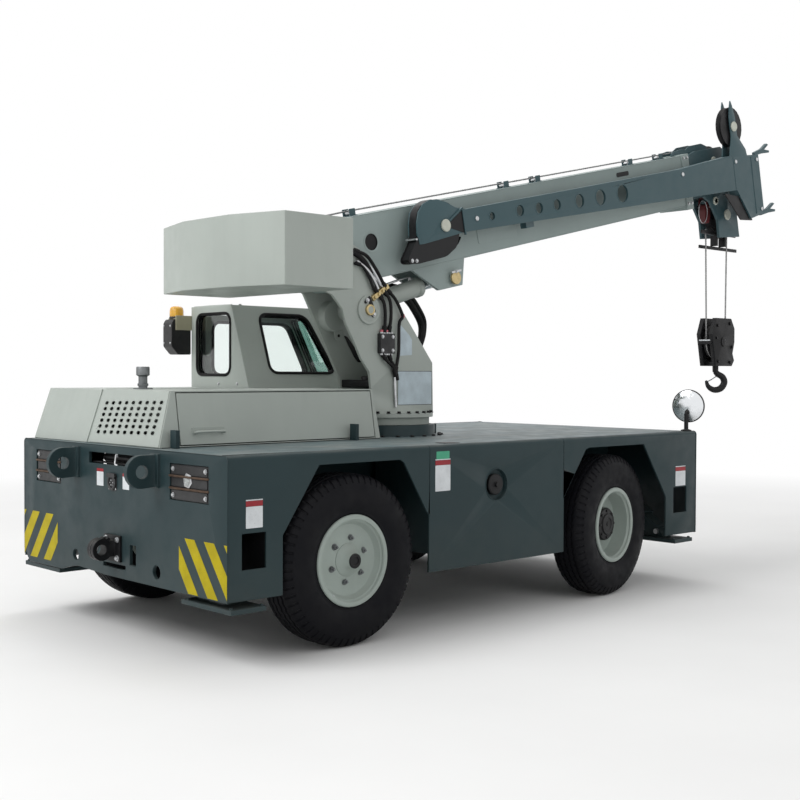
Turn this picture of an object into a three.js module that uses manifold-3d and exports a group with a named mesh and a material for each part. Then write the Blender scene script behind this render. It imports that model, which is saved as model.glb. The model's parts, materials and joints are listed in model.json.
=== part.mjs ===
// A nine-ton class carry-deck crane: a low four-wheel carrier with a flat deck, a one-man cab,
// an engine hood, and a turntable with a three-section boom and a stowed side jib.
// Millimetres. +X is forward, +Y is left, +Z is up, and the tyres stand on z = 0.
import * as THREE from "three";
import { ConvexGeometry } from "three/addons/geometries/ConvexGeometry.js";
import { mergeVertices } from "three/addons/utils/BufferGeometryUtils.js";
import Module from "manifold-3d";

const wasm = await Module();
wasm.setup();

// ---------------------------------------------------------------- driving dimensions
const FRAME_X = 2915; // from the rear panel's face to the frame's origin
const LENGTH = 3715;
const HALF_WIDTH = 978;
const DECK_TOP = 970;
const SKIRT_BOTTOM = 312;
const PLATE = 12;
const EDGE_RADIUS = 20;
const GAP = 0.3;

const TYRE_RADIUS = 426;
const TYRE_HALF_WIDTH = 118;
const RIM_RADIUS = 228;
const TRACK_HALF = 860;
const KINGPIN_HALF = 770;
const REAR_AXLE_X = 755;
const FRONT_AXLE_X = 2835;
const FRONT_STEER = (8 * Math.PI) / 180; // the front wheels are parked turned a little left
const STEER_ARM = 120;

const SLEW_X = 1850;
const PEDESTAL_TOP = 1035;
const PEDESTAL_RADIUS = 300;
const MAST_HALF = 150;
const MAST_PLATE = 20;

const HEEL = { x: 1400, z: 1880 };
const BOOM_ANGLE = (12.9 * Math.PI) / 180;
const BASE = { half: 115, bottom: -43, top: 336, rear: -85, front: 3640, wall: 10 };
const MID = { half: 98, bottom: -26, top: 318, rear: 260, front: 3690, wall: 9 };
const TIP = { half: 82, bottom: -8, top: 300, rear: 420, front: 3745, wall: 9 };
const LIFT_LOW = { x: 1574, z: 1707 };
const LIFT_HIGH = { x: 905, z: -150 }; // in the boom's own frame

const NOSE_SHEAVE = { x: 4150, z: -190, radius: 155 }; // in the boom's own frame
const HOOK_DROP = 1020; // from the nose sheave's axis down to the hook block's sheave
const HOOK_YAW = (-43 * Math.PI) / 180;

const OUTRIGGER_ANGLE = 30; // degrees below level

// ---------------------------------------------------------------- finishes
const finish = (color, roughness, metalness = 0) => ({ color, roughness, metalness });
const SLATE = finish(0x3d5155, 0.5);
const GREY = finish(0xa0a8a2, 0.5);
const RIM_GREY = finish(0xaeb9b1, 0.5);
const BLACK = finish(0x17181a, 0.6);
const RUBBER = finish(0x1c1d20, 0.85);
const STEEL = finish(0x8b8f92, 0.35, 0.9);
const CHROME = finish(0xc9ced2, 0.15, 1);
const GLASS = finish(0x2c4f47, 0.1);
const MIRROR = finish(0xc5cbd0, 0.08, 1);
const VINYL = finish(0x1e1f21, 0.7);
const CAST = finish(0x2a2c2e, 0.65, 0.4);

// ---------------------------------------------------------------- solids
function solidOf(geometry) {
  const plain = geometry.index ? geometry.toNonIndexed() : geometry.clone();
  plain.deleteAttribute("normal");
  plain.deleteAttribute("uv");
  const merged = mergeVertices(plain, 1e-3);
  return new wasm.Manifold(
    new wasm.Mesh({
      numProp: 3,
      vertProperties: new Float32Array(merged.attributes.position.array),
      triVerts: new Uint32Array(merged.index.array),
    }),
  );
}

const join = (...solids) => solids.reduce((a, b) => a.add(b));
const cut = (solid, ...tools) => tools.reduce((a, b) => a.subtract(b), solid);

function box(x0, x1, y0, y1, z0, z1) {
  const g = new THREE.BoxGeometry(x1 - x0, y1 - y0, z1 - z0);
  g.translate((x0 + x1) / 2, (y0 + y1) / 2, (z0 + z1) / 2);
  return solidOf(g);
}

// A prism: a closed outline (points or a THREE.Shape) pushed along "x", "y" or "z" from a to b.
// The outline's two numbers are the other two axes in their own order.
function prism(outline, axis, a, b, curveSegments = 8) {
  const shape = Array.isArray(outline)
    ? new THREE.Shape(outline.map(([u, v]) => new THREE.Vector2(u, v)))
    : outline;
  const g = new THREE.ExtrudeGeometry(shape, {
    depth: b - a,
    bevelEnabled: false,
    curveSegments,
  });
  g.translate(0, 0, a);
  const turn = new THREE.Matrix4();
  if (axis === "x") turn.set(0, 0, 1, 0, 1, 0, 0, 0, 0, 1, 0, 0, 0, 0, 0, 1);
  if (axis === "y") turn.set(1, 0, 0, 0, 0, 0, -1, 0, 0, 1, 0, 0, 0, 0, 0, 1);
  if (axis === "y") g.translate(0, 0, -(a + b));
  g.applyMatrix4(turn);
  return solidOf(g);
}

// A round bar along "x", "y" or "z" from a to b about the two other coordinates c0, c1.
function bar(axis, c0, c1, radius, a, b, segments = 24, endRadius = radius) {
  const g = new THREE.CylinderGeometry(endRadius, radius, b - a, segments);
  const mid = (a + b) / 2;
  if (axis === "x") g.rotateZ(-Math.PI / 2).translate(mid, c0, c1);
  if (axis === "y") g.translate(c0, mid, c1);
  if (axis === "z") g.rotateX(Math.PI / 2).translate(c0, c1, mid);
  return solidOf(g);
}

// A turned piece about the Y axis: profile points are [radius, y], closed on the axis or on itself.
function turned(profile, segments = 24) {
  const points = profile.map(([r, y]) => new THREE.Vector2(r, y));
  const made = solidOf(new THREE.LatheGeometry(points, segments));
  return made.volume() < 0 ? solidOf(new THREE.LatheGeometry(points.reverse(), segments)) : made;
}

const hull = (points) =>
  solidOf(new ConvexGeometry(points.map(([x, y, z]) => new THREE.Vector3(x, y, z))));

// A straight round bar between two points.
function rod(from, to, radius, segments = 16) {
  const a = new THREE.Vector3(...from);
  const b = new THREE.Vector3(...to);
  const g = new THREE.CylinderGeometry(radius, radius, a.distanceTo(b), segments);
  const along = b.clone().sub(a).normalize();
  g.applyQuaternion(new THREE.Quaternion().setFromUnitVectors(new THREE.Vector3(0, 1, 0), along));
  g.translate((a.x + b.x) / 2, (a.y + b.y) / 2, (a.z + b.z) / 2);
  return solidOf(g);
}

// A tube of the given radius along a smooth curve through the points.
function hose(points, radius, steps, sides = 8) {
  const path = new THREE.CatmullRomCurve3(points.map((p) => new THREE.Vector3(...p)));
  const ring = new THREE.Shape();
  ring.absarc(0, 0, radius, 0, 2 * Math.PI, false);
  const g = new THREE.ExtrudeGeometry(ring, {
    steps,
    extrudePath: path,
    curveSegments: sides / 2,
    bevelEnabled: false,
  });
  return solidOf(g);
}

const moved = (solid, x, y, z) => solid.translate([x, y, z]);
const mirroredY = (solid) => solid.mirror([0, 1, 0]);

function node(parent, name, solid, look) {
  const m = solid.getMesh();
  const g = new THREE.BufferGeometry();
  g.setAttribute("position", new THREE.BufferAttribute(new Float32Array(m.vertProperties), 3));
  g.setIndex(new THREE.BufferAttribute(new Uint32Array(m.triVerts), 1));
  g.computeVertexNormals();
  const mesh = new THREE.Mesh(g, new THREE.MeshStandardMaterial(look));
  mesh.name = name;
  parent.add(mesh);
  return mesh;
}

const root = new THREE.Group();
const carrier = new THREE.Group();
carrier.position.x = -FRAME_X;
root.add(carrier);

const SIDES = [
  { name: "right", sign: -1 },
  { name: "left", sign: 1 },
];
// Everything on a side is made for the left (+Y) and mirrored for the right.
const onSide = (side, solid) => (side.sign > 0 ? solid : mirroredY(solid));

// ---------------------------------------------------------------- carrier body
// A side skirt in section: an upright plate whose top bends inwards into the deck.
function skirtSection() {
  const s = new THREE.Shape();
  const inner = HALF_WIDTH - PLATE;
  s.moveTo(inner, SKIRT_BOTTOM);
  s.lineTo(HALF_WIDTH, SKIRT_BOTTOM);
  s.lineTo(HALF_WIDTH, DECK_TOP - EDGE_RADIUS);
  s.absarc(HALF_WIDTH - EDGE_RADIUS, DECK_TOP - EDGE_RADIUS, EDGE_RADIUS, 0, Math.PI / 2, false);
  s.lineTo(930, DECK_TOP);
  s.lineTo(930, DECK_TOP - PLATE);
  s.lineTo(inner, DECK_TOP - PLATE);
  s.closePath();
  return s;
}

const REAR_ARCH = [
  [312, 200],
  [312, 590],
  [530, 906],
  [1056, 906],
  [1083, 890],
  [1246, 628],
  [1263, 610],
  [1263, 200],
];
const FRONT_ARCH = [
  [2353, 200],
  [2353, 620],
  [2558, 896],
  [2590, 906],
  [3134, 906],
  [3354, 594],
  [3375, 560],
  [3375, 200],
];
const SEAM_REAR = 1265;
const SEAM_FRONT = 2351;

function skirt(x0, x1) {
  return prism(skirtSection(), "x", x0, x1, 4);
}
const throughSkirt = (outline) => prism(outline, "y", 900, 1000);
const slotWindow = (x0, x1) =>
  throughSkirt([
    [x0, 452],
    [x0, 616],
    [x1, 616],
    [x1, 452],
  ]);

// An end panel in outline: the given bottom edge from right to left, and both top corners rounded.
// It is a little smaller than the skirts that wrap round it.
const END_HALF = HALF_WIDTH - 1;
function endPanel(bottom) {
  const s = new THREE.Shape();
  const inner = END_HALF - EDGE_RADIUS;
  const height = DECK_TOP - 1 - EDGE_RADIUS;
  bottom.forEach(([y, z], k) => (k ? s.lineTo(y, z) : s.moveTo(y, z)));
  s.lineTo(END_HALF, height);
  s.absarc(inner, height, EDGE_RADIUS, 0, Math.PI / 2, false);
  s.lineTo(-inner, height + EDGE_RADIUS);
  s.absarc(-inner, height, EDGE_RADIUS, Math.PI / 2, Math.PI, false);
  s.closePath();
  return s;
}

function rearBody() {
  const side = cut(skirt(2, SEAM_REAR - GAP), throughSkirt(REAR_ARCH), slotWindow(80, 215));
  const bottom = [
    [-END_HALF, SKIRT_BOTTOM - 2],
    [90, SKIRT_BOTTOM - 2],
    [373, 323],
    [450, 310],
    [552, 285],
    [916, 285],
    [END_HALF, SKIRT_BOTTOM + 40],
  ];
  const panel = prism(endPanel(bottom), "x", 0, 20, 4);
  const lampBays = SIDES.map(({ sign }) =>
    box(-10, 14, sign > 0 ? 555 : -830, sign > 0 ? 830 : -510, 742, 914),
  );
  const openings = [
    box(-10, 30, -205, 252, 873, 931),
    box(-10, 30, -108, 108, 356, 377),
    bar("x", 393, 380, 30, -10, 30, 12),
    box(-10, 30, -206, -148, 387, 487),
    bar("x", -394, 381, 34, -10, 30, 12),
  ];
  const lugs = [385, -385].map((y) =>
    cut(
      join(
        box(-14, 4, y - 42, y + 30, 790, 952),
        prism(towLug(), "y", y - 15, y + 15, 6),
      ),
      bar("y", -82, 868, 33, y - 40, y + 40, 16),
    ),
  );
  return join(cut(panel, ...lampBays, ...openings), side, mirroredY(side), ...lugs);
}

// A tie-down lug seen from the side: square at the panel, round at its outer end.
function towLug() {
  const s = new THREE.Shape();
  s.moveTo(2, 794);
  s.lineTo(2, 948);
  s.lineTo(-80, 948);
  s.absarc(-85, 868, 80, Math.PI / 2, (3 * Math.PI) / 2, false);
  s.closePath();
  return s;
}

function frontBody() {
  const side = cut(
    skirt(SEAM_FRONT + GAP, LENGTH - 2),
    throughSkirt(FRONT_ARCH),
    slotWindow(3460, 3605),
  );
  const bottom = [
    [-END_HALF, SKIRT_BOTTOM - 2],
    [END_HALF, SKIRT_BOTTOM - 2],
  ];
  const panel = prism(endPanel(bottom), "x", LENGTH - 16, LENGTH, 4);
  return join(panel, side, mirroredY(side));
}

// The right middle panel is the outer wall of the hydraulic tank.
function rightSideTank() {
  const wall = mirroredY(skirt(SEAM_REAR + GAP, SEAM_FRONT - GAP));
  const tank = box(1300, 2310, -970, -520, 400, 900);
  const hole = bar("y", 1777, 738, 86, -1000, -950, 24);
  return cut(join(wall, tank), hole);
}

function leftSidePanel() {
  const wall = skirt(SEAM_REAR + GAP, SEAM_FRONT - GAP);
  const tank = box(2130, 2310, 520, 970, 400, 900);
  const doorway = throughSkirt([
    [SEAM_REAR - 10, 474],
    [SEAM_REAR - 10, 1000],
    [2120, 1000],
    [2090, 975],
    [2010, 812],
    [2010, 474],
  ]);
  return join(cut(wall, doorway), tank);
}

// Inner frame: two deep rails with cross members, spring seats and engine feet.
const RAIL = { inner: 380, outer: 450, bottom: 560, top: 957 };
const OUTRIGGER_X = { rear: 110, front: 3560 };
const FLOAT = { halfX: 98, y0: 590, y1: 990, bottom: 257, top: 280 };
const LEG = { half: 42, length: 850, y: 800, z: 318 };

// Turns a solid made along +Y at the origin to an outrigger's slope, low end at the float.
function sloped(solid, x) {
  return moved(solid.rotate([-OUTRIGGER_ANGLE, 0, 0]), x, LEG.y, LEG.z);
}

function chassisFrame() {
  const rails = SIDES.map((side) =>
    onSide(side, box(215, 3470, RAIL.inner, RAIL.outer, RAIL.bottom, RAIL.top)),
  );
  const crossAt = [215, 1180, 1440, 2240, 3440].map((x) =>
    box(x, x + 30, -RAIL.outer, RAIL.outer, RAIL.bottom, RAIL.top),
  );
  const engineFeet = SIDES.map((side) =>
    onSide(side, box(700, 800, 330, RAIL.inner + 5, 640, 660)),
  );
  const perches = [REAR_AXLE_X, FRONT_AXLE_X].flatMap((x) =>
    SIDES.map((side) => onSide(side, box(x - 70, x + 70, RAIL.inner, RAIL.outer, 492, 570))),
  );
  return join(...rails, ...crossAt, ...perches, ...engineFeet);
}

// The two sleeves at one end, tied by a plate that stands against the frame's end member.
function outriggerBox(x, tieFrom, tieTo) {
  const sleeve = cut(box(-60, 60, -815, -130, -60, 60), box(-48, 48, -900, 0, -48, 48));
  const pair = SIDES.map((side) => onSide(side, sloped(sleeve, x)));
  return join(box(tieFrom, tieTo, -600, 600, 470, 640), ...pair);
}

// A drum between the rails that carries the turntable, with a stop block at its front.
function turntablePedestal() {
  const inner = RAIL.inner - GAP;
  const drum = bar("z", SLEW_X, 0, PEDESTAL_RADIUS, 700, PEDESTAL_TOP, 48);
  const stop = box(SLEW_X + 250, SLEW_X + 345, -95, -5, DECK_TOP + 1, 1030);
  const floor = box(1470 + GAP, 2240 - GAP, -inner, inner, 700, 720);
  return cut(join(drum, stop, floor), bar("z", SLEW_X, 0, 210, 650, PEDESTAL_TOP + 10, 32));
}

const CAB_TUB = { x0: 1290, x1: 2000, y0: 480, y1: 964, z0: 400 };

function deckPlate() {
  const plate = box(20 + GAP, LENGTH - 16 - GAP, -930 + GAP, 930 - GAP, DECK_TOP - PLATE, DECK_TOP);
  const engineBay = box(90, 1480, -300, 210, 940, 980);
  const cabBay = box(CAB_TUB.x0 - 2, CAB_TUB.x1 + 2, CAB_TUB.y0 - 2, 1000, 940, 980);
  const ring = bar("z", SLEW_X, 0, PEDESTAL_RADIUS + 2, 900, 1000, 48);
  return cut(plate, engineBay, cabBay, ring);
}

// ---------------------------------------------------------------- engine hood
const HOOD = { z0: DECK_TOP + 1, z1: 1250, rear0: 55, rear1: 150, front0: 1512, front1: 1490 };
const HOOD_RIGHT = { y0: -330, y1: -282 };
const HOOD_WALL = 18;
const GRILLE = { y0: -330, y1: 345, z0: 976, z1: 1249, proud: 4.3 };

function hoodBlock(inset) {
  const i = inset;
  const base = HOOD.z0 - (i ? 10 : 0);
  const top = HOOD.z1 - i;
  const whole = hull([
    [HOOD.rear0 + i, HOOD_RIGHT.y0 + i, base],
    [HOOD.rear0 + i, 966 - i, base],
    [1080 - i, 966 - i, base],
    [1080 - i, HOOD_RIGHT.y0 + i, base],
    [HOOD.rear1 + i, HOOD_RIGHT.y1 + i, top],
    [HOOD.rear1 + i, 960 - i, top],
    [1080 - i, 960 - i, top],
    [1080 - i, HOOD_RIGHT.y1 + i, top],
  ]);
  const nose = hull([
    [900, HOOD_RIGHT.y0 + i, base],
    [900, 225 - i, base],
    [HOOD.front0 - i, HOOD_RIGHT.y0 + i, base],
    [HOOD.front0 - i, 225 - i, base],
    [900, HOOD_RIGHT.y1 + i, top],
    [900, 225 - i, top],
    [HOOD.front1 - i, HOOD_RIGHT.y1 + i, top],
    [HOOD.front1 - i, 225 - i, top],
  ]);
  return join(whole, nose);
}

// A slab lying in the hood's sloping rear face between two y values, x measured from the face.
function rearSlab(y0, y1, z0, z1, inFrom, inTo) {
  const slope = (HOOD.rear1 - HOOD.rear0) / (HOOD.z1 - HOOD.z0);
  const face = (z) => HOOD.rear0 + slope * (z - HOOD.z0);
  return prism(
    [
      [face(z0) + inFrom, z0],
      [face(z0) + inTo, z0],
      [face(z1) + inTo, z1],
      [face(z1) + inFrom, z1],
    ],
    "y",
    y0,
    y1,
  );
}

// A slab lying in the hood's sloping right face.
function rightSlab(x0, x1, z0, z1, inFrom, inTo) {
  const slope = (HOOD_RIGHT.y1 - HOOD_RIGHT.y0) / (HOOD.z1 - HOOD.z0);
  const face = (z) => HOOD_RIGHT.y0 + slope * (z - HOOD.z0);
  return prism(
    [
      [face(z0) + inFrom, z0],
      [face(z0) + inTo, z0],
      [face(z1) + inTo, z1],
      [face(z1) + inFrom, z1],
    ],
    "x",
    x0,
    x1,
  );
}

const COVER = { x0: 182, x1: 1470, z0: 982, z1: 1238 };

function engineHood() {
  const shell = cut(hoodBlock(0), hoodBlock(HOOD_WALL));
  const grilleBay = rearSlab(-262, 330, 1000, 1226, -40, 60);
  const coverBay = rightSlab(COVER.x0 - 5, COVER.x1 + 5, COVER.z0 - 5, COVER.z1 + 5, -60, 60);
  return cut(shell, grilleBay, coverBay);
}

// The grille lies on the hood's sloping rear face and follows its sloping right edge.
function grillePanel() {
  const { y0, y1, z0, z1, proud } = GRILLE;
  const sheet = rearSlab(y0, y1, z0, z1, -proud, -GAP);
  const panel = cut(sheet, rightSlab(0, 300, z0 - 20, z1 + 20, -90, 4));
  const holes = [];
  for (let row = 0; row < 6; row++) {
    for (let column = 0; column < 9; column++) {
      const y = -240 + column * 65;
      const z = 1192 - row * 30 - column * 1.6;
      const outline = [
        [y - 17, z - 4],
        [y - 9, z - 10],
        [y + 9, z - 10],
        [y + 17, z - 4],
        [y + 17, z + 4],
        [y + 9, z + 10],
        [y - 9, z + 10],
        [y - 17, z + 4],
      ];
      holes.push(prism(outline, "x", 20, 220));
    }
  }
  return cut(panel, ...holes);
}

function hoodSideCover() {
  return rightSlab(COVER.x0, COVER.x1, COVER.z0, COVER.z1, 0, 16);
}

// ---------------------------------------------------------------- cab
// The cab's right wall stands upright past the turntable, then leans in; its front is raked.
const CAB = { rear: 1100, left: 966, z0: DECK_TOP + 2, waist: 1150, z1: 1745 };
const CAB_FOOT = { right: 331, frontRight: 1920, frontLeft: 2200 };
const CAB_ROOF = { right: 540, frontRight: 1699, frontLeft: 1890 };
const CAB_WALL = 34;

// The cab's block, or the room inside it when every face is moved in by the wall.
function cabBlock(wall) {
  const rear = CAB.rear + wall;
  const left = CAB.left - wall;
  const front = wall * 1.15;
  const foot = [
    [rear, left],
    [rear, CAB_FOOT.right + wall],
    [CAB_FOOT.frontRight - front, CAB_FOOT.right + wall],
    [CAB_FOOT.frontLeft - front * 1.4, left],
  ];
  const roof = [
    [rear, left],
    [rear, CAB_ROOF.right + wall],
    [CAB_ROOF.frontRight - front * 0.8, CAB_ROOF.right + wall],
    [CAB_ROOF.frontLeft - front * 1.2, left],
  ];
  const floor = CAB.z0 + (wall ? 22 : 0);
  const at = (outline, z) => outline.map(([x, y]) => [x, y, z]);
  return hull([...at(foot, floor), ...at(foot, CAB.waist), ...at(roof, CAB.z1 - wall)]);
}

function cabTub(wall) {
  const top = wall ? DECK_TOP + 60 : DECK_TOP + 10;
  const { x0, x1, y0, y1, z0 } = CAB_TUB;
  return box(x0 + wall, x1 - wall, y0 + wall, y1 - wall, z0 + wall, top);
}

function roundedOutline(corners, radius) {
  const s = new THREE.Shape();
  const n = corners.length;
  corners.forEach((c, k) => {
    const here = new THREE.Vector2(...c);
    const before = new THREE.Vector2(...corners[(k + n - 1) % n]).sub(here).normalize();
    const after = new THREE.Vector2(...corners[(k + 1) % n]).sub(here).normalize();
    const a = here.clone().addScaledVector(before, radius);
    const b = here.clone().addScaledVector(after, radius);
    if (k === 0) s.moveTo(a.x, a.y);
    else s.lineTo(a.x, a.y);
    s.quadraticCurveTo(here.x, here.y, b.x, b.y);
  });
  s.closePath();
  return s;
}

// A rounded outline drawn in a wall's own plane and pushed through it. The plane is given by a
// point, the direction of the outline's first number and the wall's outward normal.
function throughWall(plane, corners, a, b) {
  const g = new THREE.ExtrudeGeometry(roundedOutline(corners, 60), {
    depth: b - a,
    bevelEnabled: false,
    curveSegments: 3,
  });
  g.translate(0, 0, a);
  const along = new THREE.Vector3(...plane.along).normalize();
  const out = new THREE.Vector3(...plane.out).normalize();
  const up = out.clone().cross(along);
  g.applyMatrix4(new THREE.Matrix4().makeBasis(along, up, out).setPosition(...plane.at));
  return solidOf(g);
}

function inset(corners, by) {
  const cu = corners.reduce((t, p) => t + p[0], 0) / corners.length;
  const cv = corners.reduce((t, p) => t + p[1], 0) / corners.length;
  return corners.map(([u, v]) => [u - Math.sign(u - cu) * by, v - Math.sign(v - cv) * by]);
}

const WINDOWS = {
  rear: {
    at: [CAB.rear, 0, 0],
    along: [0, -1, 0],
    out: [-1, 0, 0],
    corners: [
      [-902, 1326],
      [-550, 1326],
      [-550, 1696],
      [-902, 1696],
    ],
  },
  right: {
    at: [CAB.rear, CAB_FOOT.right, CAB.waist],
    along: [1, 0, 0],
    out: [0, CAB.waist - CAB.z1, CAB_ROOF.right - CAB_FOOT.right],
    corners: [
      [185, 200],
      [692, 200],
      [548, 578],
      [185, 578],
    ],
  },
  front: {
    at: [CAB_FOOT.frontRight, CAB_FOOT.right, CAB.waist],
    along: [270, 635, 0],
    out: [0.83, -0.353, 0.432],
    corners: [
      [70, 60],
      [630, 60],
      [535, 605],
      [150, 605],
    ],
  },
  door: {
    at: [0, CAB.left, 0],
    along: [-1, 0, 0],
    out: [0, 1, 0],
    corners: [
      [-2005, 1326],
      [-1240, 1326],
      [-1240, 1656],
      [-1835, 1656],
    ],
  },
};
const windowHole = (name) => throughWall(WINDOWS[name], WINDOWS[name].corners, -60, 40);
const pane = (name) =>
  throughWall(WINDOWS[name], inset(WINDOWS[name].corners, 0.5), -CAB_WALL / 2 - 3, -CAB_WALL / 2 + 3);

const DOOR_OUTLINE = [
  [1304, 484],
  [1304, 1010],
  [1190, 1010],
  [1190, 1700],
  [1868, 1700],
  [2085, 1260],
  [2085, 1000],
  [1960, 780],
  [1960, 484],
];

function cabShell() {
  const outer = join(cabBlock(0), cabTub(0));
  const room = join(cabBlock(CAB_WALL), cabTub(18));
  const doorway = prism(inset(DOOR_OUTLINE, -5), "y", CAB.left - 60, 1000);
  return cut(outer, room, doorway, windowHole("rear"), windowHole("right"), windowHole("front"));
}

const cabDoor = () =>
  cut(prism(DOOR_OUTLINE, "y", CAB.left - CAB_WALL, CAB.left), windowHole("door"));

function cabSeat() {
  const pedestal = box(1440, 1720, 590, 850, CAB_TUB.z0 + 18 + GAP, 650);
  const cushion = box(1400, 1830, 520, 920, 645, 770);
  const back = hull([
    [1395, 530, 760],
    [1395, 910, 760],
    [1500, 530, 760],
    [1500, 910, 760],
    [1325, 540, 1340],
    [1325, 900, 1340],
    [1400, 540, 1340],
    [1400, 900, 1340],
  ]);
  return join(pedestal, cushion, back);
}

function cabConsole() {
  const floor = CAB_TUB.z0 + 18 + GAP;
  const dash = hull([
    [1920, 520, floor],
    [1975, 520, floor],
    [1920, 900, floor],
    [1975, 900, floor],
    [1880, 520, 1170],
    [1942, 520, 1170],
    [1880, 900, 1170],
    [1960, 900, 1170],
  ]);
  const column = rod([1920, 720, 1080], [1805, 720, 1178], 26, 10);
  const rim = new THREE.TorusGeometry(175, 13, 6, 18);
  rim.rotateZ(0.3).rotateY(-0.68).translate(1800, 720, 1182);
  const spokes = [
    box(-165, 165, -14, 14, -7, 7),
    box(-14, 14, -165, 165, -7, 7),
  ].map((s) => moved(s.rotate([0, -39, 0]), 1800, 720, 1182));
  return join(dash, column, solidOf(rim), ...spokes);
}

// ---------------------------------------------------------------- small fittings
function beaconUnit() {
  const bracket = box(985, CAB.rear - GAP, 958, 966, 1600, 1690);
  const block = prism(
    [
      [958, 1500],
      [958, 1640],
      [975, 1668],
      [1075, 1668],
      [1098, 1640],
      [1098, 1450],
      [1005, 1450],
    ],
    "y",
    966,
    1068,
  );
  const beacon = bar("z", 1028, 1019, 46, 1667, 1752, 20);
  return join(bracket, block, beacon);
}

function mirrorUnit() {
  const post = bar("z", 3668, -930, 14, DECK_TOP + GAP, 1085, 12);
  const face = moved(turned([
    [0, -16],
    [70, -14],
    [108, 0],
    [108, 10],
    [0, 10],
    [0, -16],
  ], 24).rotate([0, 0, -74]), 3690, -930, 1133);
  const arm = box(3662, 3692, -938, -922, 1060, 1100);
  return join(post, face, arm);
}

function pintleHitch() {
  const plate = box(-14, -GAP, -75, 75, 392, 524);
  const jaw = cut(bar("y", -80, 458, 56, -30, 30, 20), bar("y", -86, 458, 27, -40, 40, 16));
  const shank = box(-40, -10, -30, 30, 420, 500);
  return join(plate, jaw, cut(shank, bar("y", -86, 458, 27, -40, 40, 16)));
}

function engineBlock() {
  const block = box(420, 1150, -230, 195, 700, 1150);
  const feet = box(710, 790, -378, 378, 660 + GAP, 720);
  return join(block, feet);
}

function exhaustStack() {
  const pipe = bar("z", 350, 300, 24, HOOD.z1 + GAP, 1345, 16);
  const cap = bar("z", 350, 300, 36, 1320, 1372, 16);
  const bore = bar("z", 350, 300, 19, 1290, 1400, 12);
  return cut(join(pipe, cap), bore);
}

// ---------------------------------------------------------------- running gear
const TYRE_PROFILE = [
  [214, -96],
  [233, -97],
  [262, -115],
  [320, -TYRE_HALF_WIDTH],
  [395, -109],
  [TYRE_RADIUS, -72],
  [TYRE_RADIUS, 72],
  [395, 109],
  [320, TYRE_HALF_WIDTH],
  [262, 115],
  [233, 97],
  [214, 96],
  [214, -96],
];

// Rim profiles run from the axis outwards; +y is the outer face.
const rimProfile = (face, back) => [
  ...face,
  [196, 98],
  [196, 104],
  [RIM_RADIUS, 104],
  [RIM_RADIUS, 98],
  [212, 97],
  [212, -97],
  [RIM_RADIUS, -98],
  [RIM_RADIUS, -104],
  [200, -104],
  [200, back + 4],
  [0, back],
];
const REAR_FACE = [
  [0, 116],
  [36, 116],
  [46, 90],
  [96, 60],
  [178, 56],
];
const FRONT_FACE = [
  [0, 62],
  [90, 62],
  [106, 44],
  [108, -2],
  [180, -8],
];
const RIM_BACK = { rear: 34, front: -30 };

function wheelGroup(front, side) {
  const steered = new THREE.Group();
  const x = front ? FRONT_AXLE_X : REAR_AXLE_X;
  steered.position.set(x, side.sign * KINGPIN_HALF, TYRE_RADIUS);
  if (front) steered.rotation.z = FRONT_STEER;
  carrier.add(steered);
  return steered;
}

// The knuckle about its kingpin, made for the left side: a stub axle outwards and a steering arm
// that points to the machine's middle, with the tie rod's pin hanging at its end.
function knuckle(front) {
  const arm = front ? -STEER_ARM : STEER_ARM;
  const hubFace = TRACK_HALF - KINGPIN_HALF + (front ? RIM_BACK.front : RIM_BACK.rear) - 0.5;
  const post = bar("z", 0, 0, 34, -80, 80, 12);
  const kingpin = bar("z", 0, 0, 15, -118, 118, 10);
  const stub = bar("y", 0, 0, 45, 0, hubFace, 12);
  const plate = box(Math.min(arm, 0) - 18, Math.max(arm, 0) + 18, -18, 18, -78, -58);
  const pin = bar("z", arm, 0, 11, -112, -70, 8);
  return join(post, kingpin, stub, plate, pin);
}

function tieRod() {
  const span = 2 * KINGPIN_HALF;
  const eyes = [0, span].map((y) => bar("z", 0, y, 26, -106, -86, 10));
  const bores = [0, span].map((y) => bar("z", 0, y, 13, -120, -70, 8));
  return cut(join(bar("y", 0, -96, 13, 15, span - 15, 8), ...eyes), ...bores);
}

function axle(front) {
  const x = front ? FRONT_AXLE_X : REAR_AXLE_X;
  const z = TYRE_RADIUS;
  const beam = box(x - 60, x + 60, -690, 690, z - 62, z + 62);
  const bowl = bar("x", 0, z, front ? 130 : 100, x - 76, x + (front ? 110 : 76), 18);
  const made = [beam, bowl];
  for (const side of SIDES) {
    made.push(onSide(side, box(x - 65, x + 65, 375, 455, z + 50, 491.7)));
    made.push(onSide(side, box(x - 40, x + 40, 640, 690, z - 116, z + 116)));
    for (const level of [86, -116]) {
      const yoke = box(x - 36, x + 36, 640, KINGPIN_HALF + 34, z + level, z + level + 30);
      const bore = bar("z", x, KINGPIN_HALF, 17, z - 130, z + 130, 12);
      made.push(onSide(side, cut(yoke, bore)));
    }
  }
  return join(...made);
}

function outrigger() {
  const leg = sloped(box(-LEG.half, LEG.half, -LEG.length, 0, -LEG.half, LEG.half), 0);
  const foot = prism(
    [
      [735, FLOAT.top - 2],
      [865, FLOAT.top - 2],
      [835, 322],
      [800, 345],
      [745, 350],
    ],
    "x",
    -LEG.half,
    LEG.half,
  );
  const { halfX, y0, y1, bottom, top } = FLOAT;
  return join(leg, foot, box(-halfX, halfX, y0, y1, bottom, top));
}

// ---------------------------------------------------------------- turntable, mast and housing
const MAST_REAR = [
  [1602, 1104],
  [1602, 1248],
  [1586, 1349],
  [1523, 1424],
  [1474, 1514],
  [1404, 1628],
  [1378, 1707],
  [1308, 1780],
  [1219, 1816],
];
const MAST_REAR_FAR = [
  [1602, 1104],
  [1602, 1248],
  [1594, 1310],
  [1325, 1800],
  [1295, 1816],
];

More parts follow.
